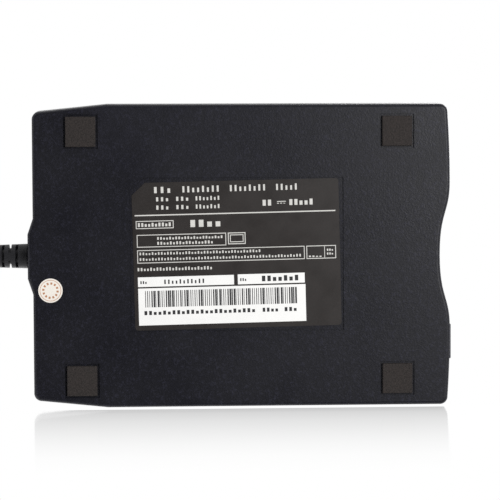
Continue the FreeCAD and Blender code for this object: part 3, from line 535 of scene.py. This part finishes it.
def rolled_metal(name, base, shade, line=1 / 2400, rough=(0.25, 0.42), depth=0.002 * MM):
    """Sheet or turned metal with fine drawn lines."""
    material, tree, shader = new_material(name, metallic=1.0)
    texture = use_group(
        tree,
        "drawn_metal",
        Base=base,
        Shade=shade,
        Line_Scale=1.0 / line,
        Roughness_Low=rough[0],
        Roughness_High=rough[1],
    )
    tree.links.new(texture.outputs["Colour"], shader.inputs["Base Color"])
    tree.links.new(texture.outputs["Roughness"], shader.inputs["Roughness"])
    bump(tree, shader, texture.outputs["Height"], depth)
    return material


def foot_rubber(name, colour):
    """Soft foam rubber: open fine pores and greyish wear."""
    material, tree, shader = new_material(name, specular=0.25)
    place = object_place(tree)
    pores = noise(tree, place, 1900.0, 4.0, 0.7)
    worn = noise(tree, place, 700.0, 3.0)
    tone = remap(tree, pores, 0.35, 0.65, 0.0, 1.0)
    colour_out = mix_colour(tree, tone, scaled(colour, 0.5), scaled(colour, 1.6))
    patch = remap(tree, worn, 0.45, 0.7, 0.0, 0.35)
    colour_out = mix_colour(tree, patch, colour_out, scaled(colour, 1.9))
    dusty = use_group(tree, "light_dust", Colour=colour_out, Amount=0.04)
    tree.links.new(dusty.outputs["Colour"], shader.inputs["Base Color"])
    tree.links.new(remap(tree, worn, 0.3, 0.7, 0.72, 0.9), shader.inputs["Roughness"])
    bump(tree, shader, pores, 0.05 * MM)
    return material


def printed_film(name, colour, grain=2200.0, vary=0.16, rough=(0.36, 0.5), specular=0.35):
    """Plastic film, coated paper or ink: nearly even colour with faint mottling and scuffs."""
    material, tree, shader = new_material(name, specular=specular)
    texture = use_group(
        tree,
        "film_mottle",
        Dark=scaled(colour, 1.0 - vary),
        Light=scaled(colour, 1.0 + vary),
        Grain_Scale=grain,
        Roughness_Low=rough[0],
        Roughness_High=rough[1],
    )
    tree.links.new(texture.outputs["Colour"], shader.inputs["Base Color"])
    tree.links.new(texture.outputs["Roughness"], shader.inputs["Roughness"])
    bump(tree, shader, texture.outputs["Height"], 0.004 * MM)
    return material


def circuit_board(name):
    """Green solder mask with copper tracks showing faintly through it."""
    material, tree, shader = new_material(name, roughness=0.34)
    place = object_place(tree)
    tracks = []
    for axis in ("X", "Y"):
        wave = add(tree, "ShaderNodeTexWave", bands_direction=axis, Scale=330.0, Distortion=1.2, Detail=1.0)
        tree.links.new(place, wave.inputs["Vector"])
        tracks.append(remap(tree, wave.outputs["Fac"], 0.62, 0.72, 0.0, 1.0))
    cells = add(tree, "ShaderNodeTexVoronoi", Scale=190.0)
    tree.links.new(place, cells.inputs["Vector"])
    chosen = remap(tree, cells.outputs["Distance"], 0.42, 0.46, 0.0, 1.0)
    along = calc(tree, "MULTIPLY", tracks[0], chosen)
    across = calc(tree, "MULTIPLY", tracks[1], calc(tree, "SUBTRACT", 1.0, chosen))
    lines = calc(tree, "ADD", along, across)
    colour = mix_colour(tree, lines, (0.006, 0.075, 0.03), (0.02, 0.16, 0.06))
    tree.links.new(colour, shader.inputs["Base Color"])
    bump(tree, shader, lines, 0.02 * MM)
    return material


def wound_copper(name):
    """Enamelled wire: close turns as fine slanting lines of light and dark."""
    material, tree, shader = new_material(name, roughness=0.3, metallic=1.0)
    place = object_place(tree)
    wave = add(tree, "ShaderNodeTexWave", bands_direction="DIAGONAL", Scale=900.0, Distortion=0.6, Detail=1.0)
    tree.links.new(place, wave.inputs["Vector"])
    colour = mix_colour(tree, wave.outputs["Fac"], (0.28, 0.08, 0.03), (0.82, 0.34, 0.15))
    tree.links.new(colour, shader.inputs["Base Color"])
    bump(tree, shader, wave.outputs["Fac"], 0.06 * MM)
    return material


def clear_plastic(name):
    """Light pipe of smoky clear plastic, slightly frosted at its cut faces."""
    material, tree, shader = new_material(name, roughness=0.18)
    shader.inputs["Transmission Weight"].default_value = 0.85
    shader.inputs["IOR"].default_value = 1.49
    place = object_place(tree)
    cloud = noise(tree, place, 1400.0, 3.0)
    colour = mix_colour(tree, cloud, (0.62, 0.72, 0.66), (0.85, 0.9, 0.86))
    tree.links.new(colour, shader.inputs["Base Color"])
    bump(tree, shader, cloud, 0.01 * MM)
    return material


def lamp_plastic(name):
    """Unlit green lamp body with a paler core."""
    material, tree, shader = new_material(name, roughness=0.22)
    place = object_place(tree)
    cloud = noise(tree, place, 1600.0, 2.0)
    colour = mix_colour(tree, cloud, (0.05, 0.3, 0.07), (0.18, 0.55, 0.2))
    tree.links.new(colour, shader.inputs["Base Color"])
    return material


def flat_ribbon(name):
    """Flat cable: pale film with grey conductors along it."""
    material, tree, shader = new_material(name, roughness=0.4)
    place = object_place(tree)
    wave = add(tree, "ShaderNodeTexWave", bands_direction="X", Scale=310.0, Distortion=0.0)
    tree.links.new(place, wave.inputs["Vector"])
    lines = remap(tree, wave.outputs["Fac"], 0.55, 0.7, 0.0, 1.0)
    colour = mix_colour(tree, lines, (0.62, 0.62, 0.58), (0.36, 0.37, 0.38))
    tree.links.new(colour, shader.inputs["Base Color"])
    bump(tree, shader, lines, 0.03 * MM)
    return material


def lead_insulation(name):
    """Thin wire insulation, slightly waxy, red going over to black across the four leads."""
    material, tree, shader = new_material(name, roughness=0.42)
    place = object_place(tree)
    wave = add(tree, "ShaderNodeTexWave", bands_direction="X", Scale=100.0, Distortion=0.2)
    tree.links.new(place, wave.inputs["Vector"])
    colour = mix_colour(tree, wave.outputs["Fac"], (0.42, 0.03, 0.03), (0.05, 0.06, 0.07))
    tree.links.new(colour, shader.inputs["Base Color"])
    return material


def flexible_vinyl(name, colour, rough=(0.5, 0.66)):
    """Cable jacket: matt, faintly uneven, with extrusion streaks and dust."""
    material, tree, shader = new_material(name, specular=0.35)
    texture = use_group(
        tree,
        "moulded_grain",
        Grain_Scale=2200.0,
        Base=colour,
        Fleck=scaled(colour, 1.9),
        Fleck_Amount=0.5,
        Roughness_Low=rough[0],
        Roughness_High=rough[1],
    )
    dusty = use_group(tree, "light_dust", Colour=texture.outputs["Colour"], Amount=0.03)
    tree.links.new(dusty.outputs["Colour"], shader.inputs["Base Color"])
    tree.links.new(texture.outputs["Roughness"], shader.inputs["Roughness"])
    bump(tree, shader, texture.outputs["Height"], 0.02 * MM)
    return material


def dress(names, material):
    """Gives CAD nodes their finish, in place of the plain one they come with."""
    for name in names:
        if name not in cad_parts:
            raise RuntimeError("no such node: " + name)
        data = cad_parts[name].data
        data.materials.clear()
        data.materials.append(material)


# Mesh helpers


def mesh_object(name, build, material):
    """New piece of the case whose mesh is filled by build(bm)."""
    bm = bmesh.new()
    build(bm)
    bmesh.ops.recalc_face_normals(bm, faces=bm.faces)
    mesh = bpy.data.meshes.new(name)
    bm.to_mesh(mesh)
    bm.free()
    piece = bpy.data.objects.new(name, mesh)
    bpy.context.scene.collection.objects.link(piece)
    mesh.materials.append(material)
    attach(piece, "case")
    return piece


def slab(bm, corners, low, high):
    """Closed prism over a flat outline between two heights."""
    bottom = [bm.verts.new((x, y, low)) for x, y in corners]
    top = [bm.verts.new((x, y, high)) for x, y in corners]
    bm.faces.new(bottom)
    bm.faces.new(list(reversed(top)))
    count = len(corners)
    for index in range(count):
        after = (index + 1) % count
        bm.faces.new((bottom[index], top[index], top[after], bottom[after]))


def wound_springs(bm):
    """The two pull springs: open turns of wire between the chassis's hooks and the slide's pegs."""
    low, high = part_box("slide_springs")
    outer = (high.z - low.z) / 2
    coil = outer - SPRING_WIRE
    steps = int((high.y - low.y) / SPRING_PITCH) * TURN_STEPS
    ends = TURN_STEPS / 2
    for middle_x in (low.x + outer, high.x - outer):
        rings = []
        for step in range(steps + 1):
            angle = 2 * math.pi * step / TURN_STEPS
            reach = coil * min(1.0, step / ends, (steps - step) / ends)
            y = low.y + (high.y - low.y) * step / steps
            ring = []
            for side in range(WIRE_SIDES):
                turn = 2 * math.pi * side / WIRE_SIDES
                out = reach + SPRING_WIRE * math.cos(turn)
                place = (
                    middle_x + out * math.cos(angle),
                    min(max(y + SPRING_WIRE * math.sin(turn), low.y), high.y),
                    low.z + outer + out * math.sin(angle),
                )
                ring.append(bm.verts.new(place))
            rings.append(ring)
        for first, second in zip(rings, rings[1:]):
            for side in range(WIRE_SIDES):
                after = (side + 1) % WIRE_SIDES
                bm.faces.new((first[side], first[after], second[after], second[side])).smooth = True
        bm.faces.new(rings[0])
        bm.faces.new(list(reversed(rings[-1])))


# Label print, in millimetres from the label's rear -X corner: along the drive, then across it


def label_spot(along, across):
    """Place on the label's face, turned and shifted as the label is."""
    settings = bpy.context.scene.drive_label
    low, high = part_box("label")
    middle = (low + high) / 2
    x = across * MM - settings.width / 2
    y = settings.length / 2 - along * MM
    turn = Matrix.Rotation(settings.turn, 2)
    spot = turn @ Vector((x, y))
    return middle.x + spot.x, middle.y + spot.y


def label_rect(bm, along0, along1, across0, across1, lift):
    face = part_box("label")[0].z
    spots = ((along0, across0), (along1, across0), (along1, across1), (along0, across1))
    corners = [label_spot(*spot) for spot in spots]
    slab(bm, corners, face - lift * PRINT_LIFT, face - (lift - 0.9) * PRINT_LIFT)


def label_frame(bm, along0, along1, across0, across1, line):
    label_rect(bm, along0, along1, across0, across0 + line, 1)
    label_rect(bm, along0, along1, across1 - line, across1, 1)
    label_rect(bm, along0, along0 + line, across0 + line, across1 - line, 1)
    label_rect(bm, along1 - line, along1, across0 + line, across1 - line, 1)


def dashes(bm, along0, along1, across0, across1, count, fill, lift=1):
    """Row of plain blocks that stands for a line of print, with some of them shorter."""
    step = (along1 - along0) / count
    tall = across1 - across0
    for index in range(count):
        start = along0 + index * step
        short = index % 3 == 2 or index % 5 == 3
        top = across0 + (0.28 * tall if short else 0.0)
        label_rect(bm, start, start + step * fill, top, across1, lift)


def film_print(bm):
    """Pale print: heading line, frames, a rule and rows of dashes."""
    for along0, along1, count in ((7.6, 14.4, 3), (17.2, 30.5, 8), (33.3, 46.2, 8), (49.0, 57.0, 5)):
        dashes(bm, along0, along1, 1.5, 3.6, count, 0.4)
    for across0, across1 in ((5.0, 6.4), (7.8, 9.2)):
        for along0, along1, count in ((8.2, 13.2, 3), (15.0, 20.0, 3), (21.6, 30.3, 7)):
            dashes(bm, along0, along1, across0, across1, count, 0.44)
    dashes(bm, 44.3, 47.9, 6.8, 8.8, 2, 0.6)
    label_rect(bm, 49.2, 52.2, 7.35, 7.6, 1)
    dashes(bm, 49.2, 52.4, 7.95, 8.2, 3, 0.6)
    dashes(bm, 53.4, 62.0, 6.8, 8.8, 5, 0.6)
    label_rect(bm, 0.8, 69.0, 10.85, 11.25, 1)
    label_frame(bm, 1.1, 13.9, 12.9, 15.6, 0.26)
    dashes(bm, 1.8, 13.4, 13.6, 14.9, 10, 0.6)
    dashes(bm, 19.6, 31.0, 13.0, 15.4, 4, 0.56)
    label_frame(bm, 1.3, 31.6, 17.6, 21.9, 0.26)
    dashes(bm, 8.2, 30.8, 18.5, 19.4, 22, 0.55)
    dashes(bm, 8.2, 27.5, 20.1, 21.1, 18, 0.55)
    label_frame(bm, 32.2, 38.2, 17.6, 21.6, 0.3)
    label_frame(bm, 32.9, 37.5, 18.3, 20.9, 0.26)
    label_frame(bm, 1.3, 58.2, 22.8, 27.3, 0.26)
    dashes(bm, 2.1, 43.6, 23.6, 24.5, 40, 0.5)
    dashes(bm, 2.1, 57.4, 25.5, 26.4, 53, 0.5)
    label_frame(bm, 58.8, 68.9, 22.8, 27.3, 0.26)
    label_rect(bm, 64.9, 65.1, 23.1, 27.0, 1)
    dashes(bm, 59.6, 64.4, 26.2, 26.7, 4, 0.6)
    dashes(bm, 65.8, 68.2, 24.0, 24.7, 3, 0.6)
    dashes(bm, 65.8, 68.2, 25.3, 26.0, 3, 0.6)
    dashes(bm, 1.3, 27.0, 28.8, 29.9, 24, 0.52)


def white_panels(bm):
    label_rect(bm, 1.3, 33.9, 32.0, 35.3, 1)
    label_rect(bm, 35.2, 58.0, 31.9, 35.3, 1)
    label_rect(bm, 1.3, 58.2, 35.8, 48.4, 1)


def panel_print(bm):
    """Dark print on the panels: plain bars and rows of dashes."""
    dashes(bm, 2.1, 4.6, 33.3, 34.3, 3, 0.55, 2)
    dashes(bm, 10.2, 24.5, 33.0, 34.5, 11, 0.4, 2)
    dashes(bm, 36.0, 38.4, 33.2, 34.2, 3, 0.55, 2)
    dashes(bm, 43.4, 56.5, 32.6, 34.5, 7, 0.62, 2)
    bars = 74
    first, last = 3.6, 55.3
    shares = (0.34, 0.62, 0.4, 0.84, 0.3)
    step = (last - first) / bars
    for index in range(bars):
        start = first + index * step
        share = shares[(index * 7 + index // 6) % len(shares)]
        label_rect(bm, start, start + step * share, 36.7, 42.3, 2)
    dashes(bm, 3.2, 41.4, 43.5, 44.9, 24, 0.6, 2)
    dashes(bm, 43.4, 49.2, 43.5, 44.9, 4, 0.6, 2)
    dashes(bm, 50.9, 55.6, 43.5, 44.9, 3, 0.6, 2)


def sticker_print(bm):
    """Thin ring and short dashes round the sticker, with a plain middle."""
    low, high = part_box("round_sticker")
    middle = (low + high) / 2
    radius = (high.x - low.x) / 2
    face = low.z
    steps = 48

    def ring(inner, outer, first, last):
        points = []
        count = max(2, last - first)
        for part in range(count + 1):
            angle = 2 * math.pi * (first + part) / steps
            points.append((middle.x + outer * math.cos(angle), middle.y + outer * math.sin(angle)))
        for part in range(count, -1, -1):
            angle = 2 * math.pi * (first + part) / steps
            points.append((middle.x + inner * math.cos(angle), middle.y + inner * math.sin(angle)))
        slab(bm, points, face - PRINT_LIFT, face - 0.1 * PRINT_LIFT)

    for first in range(0, steps, 8):
        ring(radius * 0.84, radius * 0.88, first, first + 8)
    for first in range(0, steps, 4):
        ring(radius * 0.5, radius * 0.68, first, first + 2)


# Cable


def cable_lift(settings):
    """Height of the cable's middle line where it lies on the table."""
    return settings.diameter / 2 + 0.02 * MM


def coil_points(settings):
    """Control points of the coil, a little outside its own line so that the curve lies on it."""
    pitch, turns = settings.turn_pitch, settings.half_turns
    lift = cable_lift(settings)
    centre = (COIL_START[0] + settings.coil_radius, COIL_START[1])
    middle = turns / 2
    points = []
    for index in range(turns * COIL_STEPS):
        half = (index + 0.5) / COIL_STEPS
        radius = settings.coil_radius - pitch * (middle - abs(half - middle)) / 2
        rise = min(max(half - middle + 0.5, 0.0), 1.0)
        angle = math.pi - half * math.pi
        out = radius / math.cos(math.pi / (2 * COIL_STEPS))
        x = centre[0] + out * math.cos(angle)
        y = centre[1] + out * math.sin(angle)
        points.append((x, y, lift + rise * pitch))
    return points


def cable_points(settings):
    """Control points from the strain relief through the coil to the plug."""
    lift = cable_lift(settings)
    start_x = COIL_START[0]
    points = [(0.0, 102.5 * MM, 9.6 * MM), (0.0, 112.5 * MM, 9.6 * MM), (-2.5 * MM, 125.5 * MM, 4.6 * MM)]
    points += [(-9.0 * MM, 139.0 * MM, lift), (start_x, 152.0 * MM, lift), (start_x, 163.0 * MM, lift)]
    points += coil_points(settings)
    end_x = start_x + 2 * settings.coil_radius
    high = lift + settings.turn_pitch
    plug_z = 4.0 * MM
    points += [(end_x, 165.0 * MM, high), (end_x, 157.0 * MM, high)]
    points += [(end_x, y * MM, plug_z) for y in (149.0, 141.4, 137.2)]
    return points


# Operators


class DRIVE_OT_finish_casing(bpy.types.Operator):
    """Give the covers, bezel, flap, button, feet and lamp their moulded finishes"""

    bl_idname = "drive.finish_casing"
    bl_label = "Finish Casing"

    def execute(self, context):
        look = context.scene.drive_casing
        casing = moulded_plastic("casing_plastic", look.casing_colour, look.grain_size, 0.07 * MM)
        fine = look.grain_size * 0.8
        bezel = moulded_plastic("bezel_plastic", look.bezel_colour, fine, 0.012 * MM, rough=(0.36, 0.5))
        pale = scaled(look.bezel_colour, 2.4)
        button = moulded_plastic("button_plastic", pale, fine, 0.01 * MM, fleck=1.8, rough=(0.34, 0.46))
        dress(("bottom_cover", "top_cover"), casing)
        dress(("front_bezel", "door_flap"), bezel)
        dress(("eject_button",), button)
        dress(("rubber_feet",), foot_rubber("foot_rubber", look.foot_colour))
        dress(("light_pipe",), clear_plastic("light_pipe_plastic"))
        dress(("lamp",), lamp_plastic("lamp_plastic"))
        return {"FINISHED"}


class DRIVE_OT_finish_mechanism(bpy.types.Operator):
    """Give the metal, ceramic and plastic pieces of the disk mechanism their finishes"""

    bl_idname = "drive.finish_mechanism"
    bl_label = "Finish Mechanism"

    def execute(self, context):
        zinc = rolled_metal("zinc_steel", (0.62, 0.63, 0.62), (0.46, 0.48, 0.49), rough=(0.3, 0.5))
        bright = rolled_metal("bright_steel", (0.78, 0.78, 0.77), (0.62, 0.62, 0.62), rough=(0.16, 0.3))
        spring = rolled_metal(
            "spring_steel", (0.5, 0.5, 0.5), (0.28, 0.28, 0.28), 1 / 5200, (0.2, 0.36), 0.05 * MM
        )
        brass = rolled_metal("brass_metal", (0.76, 0.56, 0.25), (0.58, 0.4, 0.16), rough=(0.18, 0.32))
        white = moulded_plastic(
            "white_plastic", (0.6, 0.59, 0.55), 0.5 * MM, 0.006 * MM, 1.1, 0.5, (0.36, 0.5), 0.45
        )
        ceramic = moulded_plastic(
            "head_ceramic", (0.03, 0.027, 0.024), 0.2 * MM, 0.002 * MM, 1.6, 0.4, (0.1, 0.18), 0.5
        )
        dress(("module_screws", "drive_chassis", "chassis_lid", "spring_hooks"), zinc)
        dress(("rod_clamp", "screw_bracket", "stepper_motor"), zinc)
        dress(("door_pin", "slide_plate", "disk_carrier", "carrier_pins", "latch_post"), bright)
        dress(("spindle_rotor", "spindle_hub", "drive_pin", "upper_head_arm", "arm_pivot"), bright)
        dress(("guide_rod", "lead_screw", "crystal_can", "plug_shell"), bright)
        springs = mesh_object("wound_springs", wound_springs, spring)
        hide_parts("slide_springs")
        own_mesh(springs)
        dress(("spindle_bearing",), brass)
        dress(("latch_lever", "head_carriage", "disk_in_plunger", "write_protect_plunger"), white)
        dress(("cable_socket", "plug_tongue"), white)
        dress(("lower_head", "upper_head"), ceramic)
        return {"FINISHED"}


class DRIVE_OT_finish_electronics(bpy.types.Operator):
    """Give the boards, coils, chips and leads their finishes"""

    bl_idname = "drive.finish_electronics"
    bl_label = "Finish Electronics"

    def execute(self, context):
        chip = moulded_plastic(
            "chip_black", (0.012, 0.012, 0.013), 0.18 * MM, 0.006 * MM, 2.2, 0.5, (0.4, 0.55), 0.4
        )
        gold = rolled_metal("contact_gold", (0.9, 0.66, 0.26), (0.74, 0.5, 0.16), rough=(0.14, 0.24))
        dress(("motor_board", "drive_board", "interface_board"), circuit_board("board_green"))
        dress(("stator_coils",), wound_copper("copper_wire"))
        dress(("drive_board_parts", "interface_parts", "switch_bodies"), chip)
        dress(("inner_leads",), lead_insulation("lead_insulation"))
        dress(("flat_cable",), flat_ribbon("flat_ribbon"))
        dress(("plug_contacts",), gold)
        return {"FINISHED"}


class DRIVE_OT_print_label(bpy.types.Operator):
    """Finish the label and the round sticker, and print generic marks on them"""

    bl_idname = "drive.print_label"
    bl_label = "Print Label"

    def execute(self, context):
        look = context.scene.drive_label
        dress(("label",), printed_film("label_film", look.film_colour))
        paper = printed_film("sticker_paper", look.panel_colour, 3000.0, 0.035, (0.5, 0.62), 0.3)
        round_paper = printed_film("round_paper", look.sticker_colour, 3000.0, 0.035, (0.5, 0.62), 0.3)
        dress(("round_sticker",), round_paper)
        pale = printed_film("light_ink", look.light_ink, 4000.0, 0.1, (0.4, 0.5))
        dark = printed_film("dark_ink", look.dark_ink, 4000.0, 0.2, (0.4, 0.5))
        mesh_object("label_print", film_print, pale)
        mesh_object("label_panels", white_panels, paper)
        mesh_object("panel_print", panel_print, dark)
        faded = printed_film("faded_ink", (0.5, 0.24, 0.13), 4000.0, 0.15, (0.4, 0.5))
        mesh_object("sticker_print", sticker_print, faded)
        return {"FINISHED"}


class DRIVE_OT_lay_cable(bpy.types.Operator):
    """Lay the free cable from the strain relief to its coil and plug"""

    bl_idname = "drive.lay_cable"
    bl_label = "Lay Cable"

    def execute(self, context):
        look = context.scene.drive_cable
        jacket = flexible_vinyl("cable_jacket", (0.012, 0.012, 0.0145))
        data = bpy.data.curves.new("cable", "CURVE")
        data.dimensions = "3D"
        data.bevel_depth = look.diameter / 2
        data.bevel_resolution = 6
        data.resolution_u = 6
        data.use_fill_caps = True
        spline = data.splines.new("NURBS")
        points = cable_points(look)
        spline.points.add(len(points) - 1)
        for point, place in zip(spline.points, points):
            point.co = (*place, 1.0)
        spline.order_u = 3
        spline.use_endpoint_u = True
        cable = bpy.data.objects.new("cable", data)
        context.scene.collection.objects.link(cable)
        data.materials.append(jacket)
        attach(cable, "case")
        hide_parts("cable_tube", "cable_coil")
        plug = flexible_vinyl("plug_vinyl", (0.014, 0.014, 0.017), (0.4, 0.55))
        dress(("strain_relief",), flexible_vinyl("relief_vinyl", (0.011, 0.011, 0.0135), (0.42, 0.58)))
        dress(("plug_overmould",), plug)
        return {"FINISHED"}


def area_lamp(name, place, target, size, power):
    """Square white lamp that points at a target."""
    data = bpy.data.lights.new(name, "AREA")
    data.size = size
    data.energy = power
    lamp = bpy.data.objects.new(name, data)
    lamp.location = place
    lamp.rotation_mode = "QUATERNION"
    lamp.rotation_quaternion = (Vector(target) - Vector(place)).to_track_quat("-Z", "Y")
    bpy.context.scene.collection.objects.link(lamp)


def level_square(half, height):
    return [(-half, -half, height), (half, -half, height), (half, half, height), (-half, half, height)]


def stage_plane(name, corners, material):
    """Flat backdrop piece that only the camera sees, and that lights nothing on the drive."""
    bm = bmesh.new()
    bm.faces.new([bm.verts.new(c) for c in corners])
    mesh = bpy.data.meshes.new(name)
    bm.to_mesh(mesh)
    bm.free()
    plane = bpy.data.objects.new(name, mesh)
    bpy.context.scene.collection.objects.link(plane)
    mesh.materials.append(material)
    plane.visible_shadow = False
    plane.visible_diffuse = False
    plane.visible_glossy = False
    plane.visible_transmission = False
    return plane


def dark_card_material():
    """Black card below the drive, which only reflections see, so that the underside isn't washed out."""
    material = bpy.data.materials.new("dark_card")
    material.use_nodes = True
    shader = material.node_tree.nodes["Principled BSDF"]
    shader.inputs["Base Color"].default_value = (0.0, 0.0, 0.0, 1)
    shader.inputs["Roughness"].default_value = 1.0
    shader.inputs["Specular IOR Level"].default_value = 0.0
    return material


def table_material():
    """Pale table seen from above only: it keeps the drive's soft shadow and fades into the background."""
    material = bpy.data.materials.new("pale_table")
    material.use_nodes = True
    tree = material.node_tree
    tree.nodes.remove(tree.nodes["Principled BSDF"])
    out = tree.nodes["Material Output"]
    matt = tree.nodes.new("ShaderNodeBsdfDiffuse")
    matt.inputs["Color"].default_value = (0.93, 0.93, 0.93, 1)
    clear = tree.nodes.new("ShaderNodeBsdfTransparent")
    place = object_place(tree)
    distance = tree.nodes.new("ShaderNodeVectorMath")
    distance.operation = "LENGTH"
    tree.links.new(place, distance.inputs[0])
    fade = remap(tree, distance.outputs["Value"], 0.25, 0.55, 0.0, 1.0)
    back = tree.nodes.new("ShaderNodeNewGeometry").outputs["Backfacing"]
    hidden = calc(tree, "MAXIMUM", fade, back)
    mix = tree.nodes.new("ShaderNodeMixShader")
    tree.links.new(hidden, mix.inputs["Fac"])
    tree.links.new(matt.outputs["BSDF"], mix.inputs[1])
    tree.links.new(clear.outputs["BSDF"], mix.inputs[2])
    tree.links.new(mix.outputs["Shader"], out.inputs["Surface"])
    return material


def glossy_sheet_material():
    """White acrylic sheet at the drive's side, seen on one side only: even white with a real mirror whose
    weight is painted by height, so the mirror image's fade with distance is a painted reflection and the
    raised weight at the drive's edge paints its contact shadow.
    """
    material = bpy.data.materials.new("white_acrylic")
    material.use_nodes = True
    tree = material.node_tree
    tree.nodes.remove(tree.nodes["Principled BSDF"])
    out = tree.nodes["Material Output"]
    white = tree.nodes.new("ShaderNodeEmission")
    mirror = tree.nodes.new("ShaderNodeBsdfGlossy")
    mirror.inputs["Color"].default_value = (1.0, 1.0, 1.0, 1)
    mirror.inputs["Roughness"].default_value = 0.09
    clear = tree.nodes.new("ShaderNodeBsdfTransparent")
    place = object_place(tree)
    parts = tree.nodes.new("ShaderNodeSeparateXYZ")
    tree.links.new(place, parts.inputs["Vector"])
    painted_fade_height = remap(tree, parts.outputs["Z"], -0.13, 0.010, 0.0, 1.0)
    # Painted reflection fade and painted contact shadow: the mirror's weight is set by height, high at the
    # drive's edge and fading away from it, because the even white takes no real shadow.
    painted_mirror_weight = tree.nodes.new("ShaderNodeValToRGB")
    painted_mirror_weight.color_ramp.elements[0].position = 0.0
    painted_mirror_weight.color_ramp.elements[0].color = (0, 0, 0, 1)
    painted_mirror_weight.color_ramp.elements[1].position = 1.0
    painted_mirror_weight.color_ramp.elements[1].color = (0.85, 0.85, 0.85, 1)
    for position, value in ((0.2, 0.022), (0.354, 0.068), (0.467, 0.115), (0.588, 0.172), (0.716, 0.235),
                            (0.854, 0.33), (0.9, 0.42), (0.94, 0.62)):
        element = painted_mirror_weight.color_ramp.elements.new(position)
        element.color = (value, value, value, 1)
    tree.links.new(painted_fade_height, painted_mirror_weight.inputs["Fac"])
    mix = tree.nodes.new("ShaderNodeMixShader")
    tree.links.new(painted_mirror_weight.outputs["Color"], mix.inputs["Fac"])
    tree.links.new(white.outputs["Emission"], mix.inputs[1])
    tree.links.new(mirror.outputs["BSDF"], mix.inputs[2])
    back = tree.nodes.new("ShaderNodeNewGeometry").outputs["Backfacing"]
    sides = tree.nodes.new("ShaderNodeMixShader")
    tree.links.new(back, sides.inputs["Fac"])
    tree.links.new(mix.outputs["Shader"], sides.inputs[1])
    tree.links.new(clear.outputs["BSDF"], sides.inputs[2])
    tree.links.new(sides.outputs["Shader"], out.inputs["Surface"])
    return material


class DRIVE_OT_set_stage(bpy.types.Operator):
    """Set the pale surroundings, the soft lights and the camera"""

    bl_idname = "drive.set_stage"
    bl_label = "Set Stage"

    def execute(self, context):
        look = context.scene.drive_stage
        scene = context.scene
        scene.view_settings.view_transform = "Standard"

        world = bpy.data.worlds.new("studio")
        scene.world = world
        world.use_nodes = True
        tree = world.node_tree
        ground = tree.nodes["Background"]
        ground.inputs["Color"].default_value = (1.0, 1.0, 1.0, 1)
        ray = tree.nodes.new("ShaderNodeLightPath")
        seen = calc(tree, "MAXIMUM", ray.outputs["Is Camera Ray"], ray.outputs["Is Glossy Ray"])
        seen = calc(tree, "MAXIMUM", seen, ray.outputs["Is Transmission Ray"])
        tree.links.new(remap(tree, seen, 0.0, 1.0, look.ambient, 1.0), ground.inputs["Strength"])

        area_lamp("under_key", (-0.12, -0.36, -0.60), (0.0, -0.02, 0.0), 0.3, look.key_power)
        area_lamp("under_fill", (0.45, 0.55, -0.45), (0.0, 0.0, 0.0), 0.5, look.key_power * 0.5)
        area_lamp("over_key", (-0.42, -0.55, 0.85), (0.0, 0.0, 0.0), 0.7, look.top_power)
        area_lamp("over_fill", (0.6, 0.45, 0.6), (0.0, 0.0, 0.0), 0.9, look.top_power * 0.45)

        stage_plane("table", level_square(0.6, 0.0), table_material())
        card = stage_plane("dark_card", level_square(1.2, -0.9), dark_card_material())
        card.visible_camera = False
        card.visible_glossy = True
        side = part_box("bottom_cover")[1].x + 0.02 * MM
        half = 0.13
        sheet = [(side, -half, 0.0), (side, half, 0.0), (side, half, -half), (side, -half, -half)]
        stage_plane("acrylic_sheet", sheet, glossy_sheet_material())

        back = PHOTO_RIGHT.cross(PHOTO_UP).normalized()
        up = back.cross(PHOTO_RIGHT).normalized()
        data = bpy.data.cameras.new("photo_camera")
        data.sensor_width = 36.0
        data.lens = PHOTO_LENS
        data.clip_start, data.clip_end = 0.01, 10.0
        camera = bpy.data.objects.new("photo_camera", data)
        turn = Matrix((PHOTO_RIGHT, up, back)).transposed().to_4x4()
        camera.matrix_world = Matrix.Translation(PHOTO_PLACE) @ turn
        scene.collection.objects.link(camera)
        scene.camera = camera
        return {"FINISHED"}


class DRIVE_PT_panel(bpy.types.Panel):
    """Steps and settings of the drive"""

    bl_idname = "DRIVE_PT_panel"
    bl_label = "Portable Disk Drive"
    bl_space_type = "VIEW_3D"
    bl_region_type = "UI"
    bl_category = "Drive"

    def draw(self, context):
        layout = self.layout
        for operator in OPERATORS:
            layout.operator(operator.bl_idname)
        for name in SETTINGS:
            box = layout.box()
            settings = getattr(context.scene, name)
            for key in settings.__annotations__:
                box.prop(settings, key)


OPERATORS = (
    DRIVE_OT_finish_casing,
    DRIVE_OT_finish_mechanism,
    DRIVE_OT_finish_electronics,
    DRIVE_OT_print_label,
    DRIVE_OT_lay_cable,
    DRIVE_OT_set_stage,
)
SETTINGS = {
    "drive_casing": CasingSettings,
    "drive_label": LabelSettings,
    "drive_cable": CableSettings,
    "drive_stage": StageSettings,
}


def register():
    for settings in SETTINGS.values():
        bpy.utils.register_class(settings)
    for operator in OPERATORS:
        bpy.utils.register_class(operator)
    bpy.utils.register_class(DRIVE_PT_panel)
    for name, settings in SETTINGS.items():
        setattr(bpy.types.Scene, name, PointerProperty(type=settings))


def unregister():
    for name in SETTINGS:
        delattr(bpy.types.Scene, name)
    bpy.utils.unregister_class(DRIVE_PT_panel)
    for operator in reversed(OPERATORS):
        bpy.utils.unregister_class(operator)
    for settings in reversed(list(SETTINGS.values())):
        bpy.utils.unregister_class(settings)


def main():
    register()
    bpy.ops.drive.finish_casing()
    bpy.ops.drive.finish_mechanism()
    bpy.ops.drive.finish_electronics()
    bpy.ops.drive.print_label()
    bpy.ops.drive.lay_cable()
    bpy.ops.drive.set_stage()


if __name__ == "__main__":
    main()
